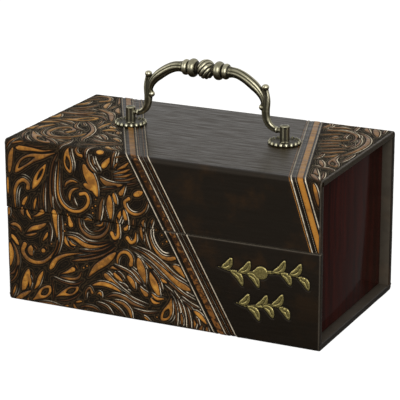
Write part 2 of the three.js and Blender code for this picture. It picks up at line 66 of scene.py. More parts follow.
caseLow, caseHigh = limits("case_cover")
flapLow = limits("flap_cover")[0]
length = caseHigh[0] - caseLow[0]
topZ = limits("lid_cover")[1][2]
frontY = flapLow[1]
backY = caseHigh[1]
depth = backY - frontY


# Camera

camera = {
    "target": Vector((-0.7, 0.0, 57.2)) * mm,
    "azimuth": math.radians(25.742),
    "elevation": math.radians(17.766),
    "roll": math.radians(-0.123),
    "distance": 1166 * mm,
    "lens": 184.45,
    "sensor": 36,
    "clip": (0.05, 30),
}


def addCamera():
    data = bpy.data.cameras.new("camera")
    holder = bpy.data.objects.new("camera", data)
    scene.collection.objects.link(holder)
    turn, rise = camera["azimuth"], camera["elevation"]
    back = Vector((math.sin(turn) * math.cos(rise), -math.cos(turn) * math.cos(rise), math.sin(rise)))
    holder.location = camera["target"] + back * camera["distance"]
    facing = (-back).to_track_quat("-Z", "Y").to_matrix()
    holder.rotation_euler = (facing @ Matrix.Rotation(camera["roll"], 3, "Z")).to_euler()
    data.lens = camera["lens"]
    data.sensor_width = camera["sensor"]
    data.clip_start, data.clip_end = camera["clip"]
    scene.camera = holder


addCamera()
print("camera placed")


# Materials

def hexColour(code):
    # An sRGB hex value as linear colour
    channels = [int(code[place:place + 2], 16) / 255 for place in (1, 3, 5)]
    linear = [c / 12.92 if c <= 0.04045 else ((c + 0.055) / 1.055) ** 2.4 for c in channels]
    return (*linear, 1.0)


# Short words for the nodes used most: type, the sockets that values go to in turn, the output taken, settings
nodeWords = {
    "mix": ("ShaderNodeMix", (0, 6, 7), 2, {"data_type": "RGBA"}),
    "range": ("ShaderNodeMapRange", (0, 1, 2, 3, 4), 0, {"interpolation_type": "SMOOTHSTEP"}),
    "noise": ("ShaderNodeTexNoise", ("Vector", "Scale", "Detail", "Roughness"), 0, {}),
    "stretch": ("ShaderNodeMapping", ("Vector", "Scale"), 0, {}),
    "bump": ("ShaderNodeBump", ("Height", "Distance", "Strength"), 0, {}),
}
for word in ("add", "subtract", "multiply", "minimum", "maximum", "absolute"):
    nodeWords[word] = ("ShaderNodeMath", (0, 1), 0, {"operation": word.upper()})


def addNode(tree, kind, *values, output=0, **settings):
    # Adds a node and returns the output it is used by. Its values follow its word's sockets, or are one
    # dictionary with a key for each socket, and a value that is a socket itself is linked.
    kind, sockets, output, usual = nodeWords.get(kind, (kind, None, output, {}))
    made = tree.nodes.new(kind)
    for name, value in {**usual, **settings}.items():
        setattr(made, name, value)
    inputs = zip(sockets, values) if sockets else dict(*values).items()
    for key, value in inputs:
        if isinstance(value, bpy.types.NodeSocket):
            tree.links.new(value, made.inputs[key])
        else:
            made.inputs[key].default_value = value
    return made.outputs[output] if made.outputs else None


def newMaterial(name):
    # The material, and addNode for its tree
    material = bpy.data.materials.new(name)
    material.use_nodes = True
    material.node_tree.nodes.clear()
    return material, functools.partial(addNode, material.node_tree)


def surfaced(material, shader):
    surface = addNode(material.node_tree, "ShaderNodeBsdfPrincipled", shader)
    addNode(material.node_tree, "ShaderNodeOutputMaterial", {"Surface": surface})
    return material


# Colours; noise as patch width in mm, detail and roughness; ranges as low, high and what these become
leatherLook = {
    # Some colours also stand in for light: the lid's are painted sheen, the light ochre is a painted
    # highlight, the silver also paints glints, the wear grey also paints highlight and sheen, and the darkest
    # brown also paints shade towards the foot
    "colours": {
        "plain": "#14100c", "lidSheenPlain": "#1c1406", "marbling": "#2c1d0f", "recessAndShade": "#0b0704",
        "wearAndSheen": "#675f53", "dull": "#5f4022", "ochre": "#a36c2b", "ochreHighlight": "#c4913f",
        "ochreDark": "#2f1609", "echo": "#4a3924", "lidSheenDull": "#6d4a1e", "lidSheenOchre": "#9f7230",
        "lidSheenEcho": "#8d816a", "stripe": "#2c1a0d", "stripeLight": "#764c24", "silver": "#f2e3c8",
        "gold": "#7d7346", "goldLight": "#a3965f", "sheen": "#ffeed6",
    },
    "noise": {
        "broad": (22, 4.0, 0.6), "fine": (0.9, 4.0, 0.6), "streaks": (1.2, 3.0, 0.6),
        "patchy": (7, 4.0, 0.65), "mottled": (2.6, 4.0, 0.65),
    },
    "streakRun": (0.06, 1, 1),
    "ranges": {
        "marbled": (0.48, 0.7, 0, 0.6), "lidFront": (-7 * mm, -1.5 * mm, 1, 0),
        "lidBack": (-112 * mm, -107 * mm),
        "foot": (40 * mm, 88 * mm, 0, 0.7), "carved": (-5.5, -4.5), "paintPatches": (0.3, 0.7, -0.35, 0.35),
        "painting": (0, 1), "stripeFoot": (30 * mm, 96 * mm, -0.03, 0.08), "stripeSpots": (0.47, 0.62),
        "stripe": (-1, -0.4, 1, 0), "crestHighlight": (0.6, 1.4), "crestPaint": (0.5, 1.1, 0, 0.8),
        "rimWidth": (0, 0.6, 1.0, 0.35), "scuffed": (0.56, 0.72, 0, 0.5), "painted": (0.02, 0.3),
        "silverPatches": (0.36, 0.54, 0.4, 1), "echoLine": (0.1, 0.42, 0.5, 0), "echoGrain": (0.35, 0.6, 0.3, 1),
        "ruled": (0.08, 0.32, 1, 0), "ruledOnLid": (0, 1, 1, 0.4), "silverAndGlint": (-0.24, 0.0),
        "glintStrength": (0.1, 0.85),
        "wearAndSheenPatches": (0.36, 0.6, 0.8, 1), "goldGround": (-1.0, -0.5, 0, 0.8), "gilt": (0.0, 0.22),
        "goldGrain": (0.4, 0.62), "streaked": (0.34, 0.66, -0.5, 0.5), "streakedOnLid": (0, 1, 0.08, 0.24),
        "ground": (8, 8.6, 1, 0),
    },
    # contour ridges round the strokes: distance out, height, dimming
    "ridges": ((0.66, 0.36, 0.0), (1.8, 0.24, 0.12), (3.0, 0.14, 0.24)),
    "rim": {"from": 0.05, "amount": 0.95},
    "metal": {"silverAndGlint": 0.6, "gold": 0.85, "smoother": 0.08},
    "roughness": 0.4, "bareRoughness": 0.55,
    "bump": {"fine": 0.5, "streaks": 0.8, "height": 0.12 * mm, "strength": 0.55},
}


def makeLeather():
    # Bonded leather, plate embossed: satin brown-black ground, ochre tops, silver on the ruled lines and
    # painted highlights in silver beside the ridges
    material, add = newMaterial("embossedBondedLeather")
    look, ranges, metals = leatherLook, leatherLook["ranges"], leatherLook["metal"]
    paint = {name: hexColour(code) for name, code in look["colours"].items()}
    sheet = add("ShaderNodeAttribute", attribute_name="sheet", output="Vector")
    edge, line, around, silverAndGlint, glintStrength, gold, wearAndSheen, facing, tone = (
        add("ShaderNodeAttribute", attribute_name=name, output="Fac")
        for name in ("edge", "line", "around", "silverAndGlint", "glintStrength", "gold", "wearAndSheen", "facing", "tone")
    )
    along = {"streaks": add("stretch", sheet, look["streakRun"])}
    broad, fine, streaks, patchy, mottled = (
        add("noise", along.get(name, sheet), 1 / (size * mm), detail, roughness)
        for name, (size, detail, roughness) in look["noise"].items()
    )

    marbled = add("range", broad, *ranges["marbled"])
    ground = add("mix", marbled, paint["plain"], paint["marbling"])
    # the plain leather is warmer on the lid, a painted sheen tint, and darkens towards the foot of the front
    # in painted shade
    down = add("ShaderNodeSeparateXYZ", {0: sheet}, output=1)
    onLid = add("multiply", add("range", down, *ranges["lidFront"]), add("range", down, *ranges["lidBack"]))
    ground = add("mix", onLid, ground, paint["lidSheenPlain"])
    ground = add("mix", add("range", down, *ranges["foot"]), ground, paint["recessAndShade"])
    carved = add("range", edge, *ranges["carved"])
    ground = add("mix", carved, ground, paint["recessAndShade"])

    # on the lid the colours are paler and more olive and the ridge lines pale: painted sheen, for the light
    # that the top reflects at a grazing angle
    dull = add("mix", onLid, paint["dull"], paint["lidSheenDull"])
    bright = add("mix", onLid, paint["ochre"], paint["lidSheenOchre"])
    painting = add("add", tone, add("range", patchy, *ranges["paintPatches"]))
    ochre = add("mix", add("range", painting, *ranges["painting"]), dull, bright)
    spots = add("add", mottled, add("range", down, *ranges["stripeFoot"]))
    stripe = add("mix", add("range", spots, *ranges["stripeSpots"]), paint["stripe"], paint["stripeLight"])
    ochre = add("mix", add("range", tone, *ranges["stripe"]), ochre, stripe)
    # a painted highlight along the crest of each stroke, stronger where the paint is fuller
    crestHighlight = add("range", painting, *ranges["crestPaint"])
    crestHighlight = add("multiply", add("range", edge, *ranges["crestHighlight"]), crestHighlight)
    ochre = add("mix", crestHighlight, ochre, paint["ochreHighlight"])
    # a wide dark rim on the side turned from the light, a narrow one on the other
    rimTo = add("range", facing, *ranges["rimWidth"])
    rim = add("range", edge, look["rim"]["from"], rimTo, look["rim"]["amount"], 0)
    ochre = add("mix", rim, ochre, paint["ochreDark"])
    ochre = add("mix", add("range", fine, *ranges["scuffed"]), ochre, paint["ochreDark"])
    painted = add("range", edge, *ranges["painted"])
    colour = add("mix", painted, ground, ochre)

    # dim lines on the crests of the contour ridges, pale on the lid as painted sheen; bright silver where
    # lines were ruled, and painted highlights in silver beside the strokes
    near = line
    for place, _, dimming in look["ridges"]:
        away = add("absolute", add("add", around, place))
        near = add("minimum", near, add("add", away, dimming))
    echoed = add("range", near, *ranges["echoLine"])
    echoed = add("multiply", echoed, add("range", fine, *ranges["echoGrain"]))
    echoed = add("multiply", echoed, carved)
    colour = add("mix", echoed, colour, add("mix", onLid, paint["echo"], paint["lidSheenEcho"]))
    ruled = add("multiply", add("range", line, *ranges["ruled"]), add("range", onLid, *ranges["ruledOnLid"]))
    # painted highlights: the glint lines beside the strokes, strongest where they face the light
    drawn = add("multiply", add("range", silverAndGlint, *ranges["silverAndGlint"]), add("range", glintStrength, *ranges["glintStrength"]))
    silverPatches = add("multiply", add("range", patchy, *ranges["silverPatches"]), carved)
    silverAndGlints = add("multiply", add("maximum", ruled, drawn), silverPatches)
    colour = add("mix", silverAndGlints, colour, paint["silver"])
    # wear and a painted highlight on the rounded rims and ends, painted sheen on the turned-in margins
    patchyWearAndSheen = add("multiply", wearAndSheen, add("range", patchy, *ranges["wearAndSheenPatches"]))
    colour = add("mix", patchyWearAndSheen, colour, paint["wearAndSheen"])
    colour = add("mix", add("range", gold, *ranges["goldGround"]), colour, paint["recessAndShade"])
    gilt = add("range", gold, *ranges["gilt"])
    goldTone = add("mix", add("range", fine, *ranges["goldGrain"]), paint["gold"], paint["goldLight"])
    colour = add("mix", gilt, colour, goldTone)

    # the streaks show in the gloss of the lid more than in the front's, and the carved ground is left matt
    metal = add("maximum", add("multiply", silverAndGlints, metals["silverAndGlint"]), add("multiply", gilt, metals["gold"]))
    streaked = add("range", streaks, *ranges["streaked"])
    rough = add("multiply", streaked, add("range", onLid, *ranges["streakedOnLid"]))
    rough = add("add", rough, look["roughness"])
    rough = add("subtract", rough, add("multiply", metal, metals["smoother"]))
    bare = add("multiply", carved, add("subtract", 1.0, add("maximum", painted, silverAndGlints)))
    bare = add("multiply", bare, add("range", around, *ranges["ground"]))
    rough = add("add", rough, add("multiply", bare, look["bareRoughness"]))
    bump = look["bump"]
    height = add("add", add("multiply", fine, bump["fine"]), add("multiply", streaks, bump["streaks"]))
    return surfaced(material, {
        "Base Color": colour, "Metallic": metal, "Roughness": rough, "IOR": 1.285,
        "Specular Tint": paint["sheen"], "Normal": add("bump", height, bump["height"], bump["strength"]),
    })


# The plainer finishes: each mixes two colours by a grain, and takes its bump from the grain or a finer one.
# A grain is its patch width in mm, detail, roughness and how it is stretched along X, Y and Z.
finishes = {
    # Mahogany veneer, stained and lacquered: deep red-brown, close grain running up, glossy
    "lacqueredMahogany": {
        "grain": (7, 5.0, 0.62, (1, 1, 0.07)), "mix": (0.32, 0.68), "colours": ("#1d0806", "#35100b"),
        "wander": (70, 2.0, 9), "fine": (0.8, 3.0, 0.7, (1, 1, 0.05)), "fineMix": (0.58, 0.7, 0, 0.5),
        "fineColour": "#0e0404", "rough": (0.3, 0.7, 0.07, 0.12), "bump": (0.02, 0.15),
        "shader": {"IOR": 1.4, "Specular IOR Level": 0.045},
    },
    # Birch plywood, cut and sanded: pale, dry, with fine long grain and plies
    "birchPlywood": {
        "grain": (5, 5.0, 0.6, (0.06, 1, 1)), "mix": (0.3, 0.7), "colours": ("#8a6437", "#b48a55"),
        "bump": (0.05, 0.4), "shader": {"Roughness": 0.62, "IOR": 1.45},
    },
    # Greyboard, rolled from waste paper: matt grey with darker fibres
    "greyboardCore": {
        "grain": (0.7, 4.0, 0.7, (0.35, 1, 1)), "mix": (0.35, 0.68), "colours": ("#6f6a60", "#9a948a"),
        "bump": (0.05, 0.5), "shader": {"Roughness": 0.92, "IOR": 1.45},
    },
    # Cotton velvet, woven pile: soft wine red, bright at grazing angles, pile brushed in patches
    "cottonVelvet": {
        "grain": (24, 2.0, 0.5, None), "mix": (0.35, 0.65), "colours": ("#4a121c", "#581722"),
        "fine": (0.45, 2.0, 0.6, None), "fineMix": (0.4, 0.6, 0.3, 0), "fineColour": "#2c0a10",
        "bump": (0.15, 0.6),
        "shader": {"Roughness": 0.95, "IOR": 1.4, "Sheen Weight": 0.7, "Sheen Roughness": 0.35,
                   "Sheen Tint": hexColour("#c4545f")},
    },
    # Steel, zinc plated: cool grey, fine handling marks
    "zincPlatedSteel": {
        "grain": (1.2, 4.0, 0.7, None), "mix": (0.35, 0.65), "colours": ("#8f9296", "#b9bcc0"),
        "rough": (0.3, 0.7, 0.28, 0.46), "shader": {"Metallic": 1.0},
    },
}


def makeFinish(name):
    look = finishes[name]
    material, add = newMaterial(name)
    place = add("ShaderNodeTexCoord", output="Object")

    def grained(start, size, detail, roughness, stretch):
        if stretch:
            start = add("stretch", start, stretch)
        return add("noise", start, 1 / (size * mm), detail, roughness)

    start = place
    if "wander" in look:
        # the grain bends slowly from side to side
        size, detail, reach = look["wander"]
        waves = {"Vector": place, "Scale": 1 / (size * mm), "Detail": detail}
        bend = add("ShaderNodeTexNoise", waves, output="Color")
        bend = add("ShaderNodeVectorMath", {0: bend, "Scale": reach * mm}, operation="SCALE")
        start = add("ShaderNodeVectorMath", {0: place, 1: bend}, operation="ADD")
    grain = grained(start, *look["grain"])
    shader = dict(look["shader"])
    colour = add("mix", add("range", grain, *look["mix"]), *[hexColour(code) for code in look["colours"]])
    surface = grain
    if "fine" in look:
        surface = grained(place, *look["fine"])
        colour = add("mix", add("range", surface, *look["fineMix"]), colour, hexColour(look["fineColour"]))
    shader["Base Color"] = colour
    if "rough" in look:
        shader["Roughness"] = add("range", grain, *look["rough"])
    if "bump" in look:
        height, strength = look["bump"]
        shader["Normal"] = add("bump", surface, height * mm, strength)
    return surfaced(material, shader)


castingLook = {
    "colours": ("#5a5744", "#35322a", "#a8a38b"), "mottle": (2.2, 4.0, 0.6), "mottleReach": 0.35,
    "dark": (-0.15, 0.3), "bright": (-0.9, -0.15, 1, 0), "rough": (0, 1, 0.28, 0.5),
    "roughMottle": (0.3, 0.7, 0, 0.08),
    "grit": (0.5, 3.0, 0.6), "bump": (0.03 * mm, 0.3),
}


def makeCasting():
    # Zinc casting, plated antique nickel-brass: olive-grey patina in the hollows, polished cream ridges
    look = castingLook
    material, add = newMaterial("antiqueNickelCasting")
    middle, patina, polished = (hexColour(code) for code in look["colours"])
    place = add("ShaderNodeTexCoord", output="Object")
    hollow = add("ShaderNodeAttribute", attribute_name="hollow", output="Fac")
    mottled, grit = (
        add("noise", place, 1 / (size * mm), detail, roughness)
        for size, detail, roughness in (look["mottle"], look["grit"])
    )
    worn = add("add", hollow, add("multiply", add("subtract", mottled, 0.5), look["mottleReach"]))
    dark = add("range", worn, *look["dark"])
    colour = add("mix", dark, middle, patina)
    colour = add("mix", add("range", worn, *look["bright"]), colour, polished)
    rough = add("add", add("range", dark, *look["rough"]), add("range", mottled, *look["roughMottle"]))
    return surfaced(material, {
        "Base Color": colour, "Metallic": 1.0, "Roughness": rough, "Normal": add("bump", grit, *look["bump"]),
    })


leatherFinish = makeLeather()
mahoganyFinish = makeFinish("lacqueredMahogany")
plywoodFinish = makeFinish("birchPlywood")
greyboardFinish = makeFinish("greyboardCore")
velvetFinish = makeFinish("cottonVelvet")
steelFinish = makeFinish("zincPlatedSteel")
castingFinish = makeCasting()
print("materials made")


# Helpers for pieces

def newPiece(name, points, faces, material, smoothAngle=40):
    mesh = bpy.data.meshes.new(name)
    mesh.from_pydata([tuple(p) for p in np.asarray(points) * mm], [], faces)
    mesh.validate()
    mesh.materials.append(material)
    mesh.shade_smooth()
    mesh.set_sharp_from_angle(angle=math.radians(smoothAngle))
    piece = bpy.data.objects.new(name, mesh)
    scene.collection.objects.link(piece)
    return piece


def attach(piece, body, slot, *nodes):
    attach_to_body(piece, body)
    if nodes:
        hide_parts(*nodes)
    return piece


def applied(piece):
    # Turns what the piece's modifiers make into its own plain mesh
    graph = bpy.context.evaluated_depsgraph_get()
    mesh = bpy.data.meshes.new_from_object(piece.evaluated_get(graph))
    piece.modifiers.clear()
    piece.data = mesh
    return mesh


def writeAttribute(mesh, name, values):
    attribute = mesh.attributes.new(name, "FLOAT", "POINT")
    attribute.data.foreach_set("value", np.asarray(values, np.float32).ravel())


def throughPoints(points, spacing):
    # A smooth curve through the points: Catmull-Rom with centripetal knots
    places = np.array(points, float)
    places = np.vstack([2 * places[0] - places[1], places, 2 * places[-1] - places[-2]])
    run = []
    for start in range(len(places) - 3):
        p0, p1, p2, p3 = places[start:start + 4]
        knots = np.cumsum([0] + [np.linalg.norm(b - a) ** 0.5 for a, b in ((p0, p1), (p1, p2), (p2, p3))])
        t0, t1, t2, t3 = knots
        steps = max(2, math.ceil(np.linalg.norm(p2 - p1) / spacing))
        t = np.linspace(t1, t2, steps, endpoint=False)[:, None]
        a1 = ((t1 - t) * p0 + (t - t0) * p1) / (t1 - t0)
        a2 = ((t2 - t) * p1 + (t - t1) * p2) / (t2 - t1)
        a3 = ((t3 - t) * p2 + (t - t2) * p3) / (t3 - t2)
        b1 = ((t2 - t) * a1 + (t - t0) * a2) / (t2 - t0)
        b2 = ((t3 - t) * a2 + (t - t1) * a3) / (t3 - t1)
        run.append(((t2 - t) * b1 + (t - t1) * b2) / (t2 - t1))
    return np.vstack([*run, places[-2:-1]])


# Scrollwork, drawn on the unrolled sheet: a kind, a width, then (across, down) in millimetres.
# Across starts at the left end; down starts at the top front edge and is negative on the lid.

flapScrolls = [
    ("leaf", 2.0, (3.6, 2.8), (8, 0.6), (13, -1.4)),
    ("flow", 1.1, (13, 1.6), (20, 2.4), (28, 1)),
    ("drop", 3.2, (33, 2.8), (25, 4.6), (17, 4.6), (7.6, 4.8)),
    ("eye", 6.0, (32, 5), (24.5, 7.8), (17.5, 9.7), (11.5, 13.4), (6.6, 19.2)),
    ("curl", 3.0, (6.0, 40), (5.6, 34), (6.2, 28.6), (8.4, 24.8), (11.8, 23.2), (14.6, 25.0), (14.4, 27.6)),
    ("split", 4.8, (26.6, 11.6), (23.4, 17), (20.4, 22), (17.4, 28)),
    ("flow", 2.0, (34.2, 4.6), (31.6, 9.4), (30.2, 15), (29.4, 21), (29, 28), (29.2, 34), (30.6, 40)),
    ("line", 1.1, (32.8, 10), (31.5, 16), (30.9, 22), (30.9, 28), (32, 33), (35.2, 38)),
    ("curl", 2.6, (34.8, 9), (34.2, 16), (33.6, 23), (34, 29), (36.6, 34), (41.6, 37), (47, 36.8),
     (51.4, 33.6),
     (53, 29.4), (51.4, 26), (48, 26.6)),
    ("line", 0.9, (36, 13), (35.8, 21), (36.4, 27.6), (39, 32.2), (42.6, 34)),
    ("leaf", 1.9, (37.9, 24.4), (39.6, 21.2), (43, 19.6), (47.6, 20.6)),
    ("leaf", 2.1, (41.4, 32), (41.2, 28), (43, 25), (48.2, 22.8)),
    ("line", 0.9, (43.4, 29), (43.9, 31.6), (45.4, 34)),
    ("flow", 1.3, (25.6, 22), (24.6, 28), (24.3, 34), (24.9, 41)),
    ("line", 0.8, (27.2, 19), (26.6, 26), (26.3, 33), (26.6, 41)),
    ("leaf", 2.4, (14, 32.4), (11.6, 36), (10.2, 41)),
    ("leaf", 1.8, (19.8, 32), (18.6, 36), (18, 41)),
    ("line", 0.9, (21.4, 30), (21.2, 35), (21.6, 41)),
    ("leaf", 2.0, (1.6, 22), (1.3, 28), (1.6, 34)),
    ("eye", 5.2, (41.2, -1.5), (40, 4.5), (40.4, 10), (41.8, 15)),
    ("line", 0.8, (42, 0), (42.8, 4), (44, 8)),
    ("curl", 2.4, (45.4, -3), (45.4, 1), (47, 3.8), (49.4, 4.4)),
    ("leaf", 6.6, (50.2, 9), (53, 14), (55.6, 19), (58.8, 27.2)),
    ("lobe", 3.6, (50, 20.4), (53.5, 21.8), (57, 24)),
    ("flow", 1.7, (53, 2.2), (52.7, 6.5), (54.6, 10.4), (58.2, 13.4)),
    ("flow", 1.3, (55.6, 3.5), (56.4, 8), (59.8, 12)),
    ("line", 0.9, (58, 6), (58.8, 9), (61, 12)),
    ("berry", 5.2, (60.3, -0.4)),
    ("drop", 3.6, (75, 0.2), (70, 2.6), (66, 4.8), (62.2, 9.2)),
    ("leaf", 1.8, (66.6, 10), (69, 8.4), (72, 5.2)),
    ("leaf", 2.2, (70.6, 10.2), (74.6, 7.8), (79, 4)),
    ("leaf", 2.0, (68.4, 12.4), (74, 10.8), (80.6, 7.4)),
    ("leaf", 1.8, (68.6, 14), (75, 13), (82, 9.8)),
    ("flow", 1.4, (68.6, 15.6), (76, 15), (83.6, 12)),
    ("flow", 1.2, (70, 17.4), (77.6, 17), (84, 15)),
    ("leaf", 3.4, (60.2, 15.2), (64, 18), (69, 18.8), (75.6, 17.6)),
    ("line", 1.0, (60.8, 22.2), (65, 21.2), (70.4, 20)),
    ("drop", 3.0, (76.2, 17.4), (75, 20), (73, 23.4)),
    ("leaf", 2.6, (68.6, 23), (69.4, 26.4), (70.8, 29.8)),
    ("leaf", 4.2, (66.2, 24.6), (66.2, 31), (66.8, 39.6)),
    ("flow", 2.2, (62, 27), (60.8, 31), (60.2, 36), (59.4, 41)),
    ("line", 0.9, (62.6, 31), (63.6, 35), (65, 39)),
    ("curl", 2.6, (89.8, 25.4), (88.4, 29.6), (85.2, 32.8), (80.8, 33.6), (77, 31.4), (75.6, 27.6),
     (78.2, 25.2)),
    ("leaf", 3.8, (81.2, 22.8), (84, 21.6), (87, 20)),
    ("leaf", 2.4, (74, 32), (72, 36), (71, 41)),
    ("leaf", 2.6, (74.8, 31.6), (75.8, 36), (77.6, 41)),
    ("drop", 2.8, (88.4, 35.4), (86.8, 37.2), (86, 41)),
    ("leaf", 1.6, (93, 34.6), (91.8, 38), (91.4, 41)),
    ("flow", 1.4, (81, 36.4), (80.6, 41)),
    ("berry", 1.5, (57.4, 32.2)), ("berry", 1.5, (55.4, 33.6)), ("berry", 1.5, (55.6, 36.6)),
     ("berry", 1.4, (57.6, 28.4)),
]

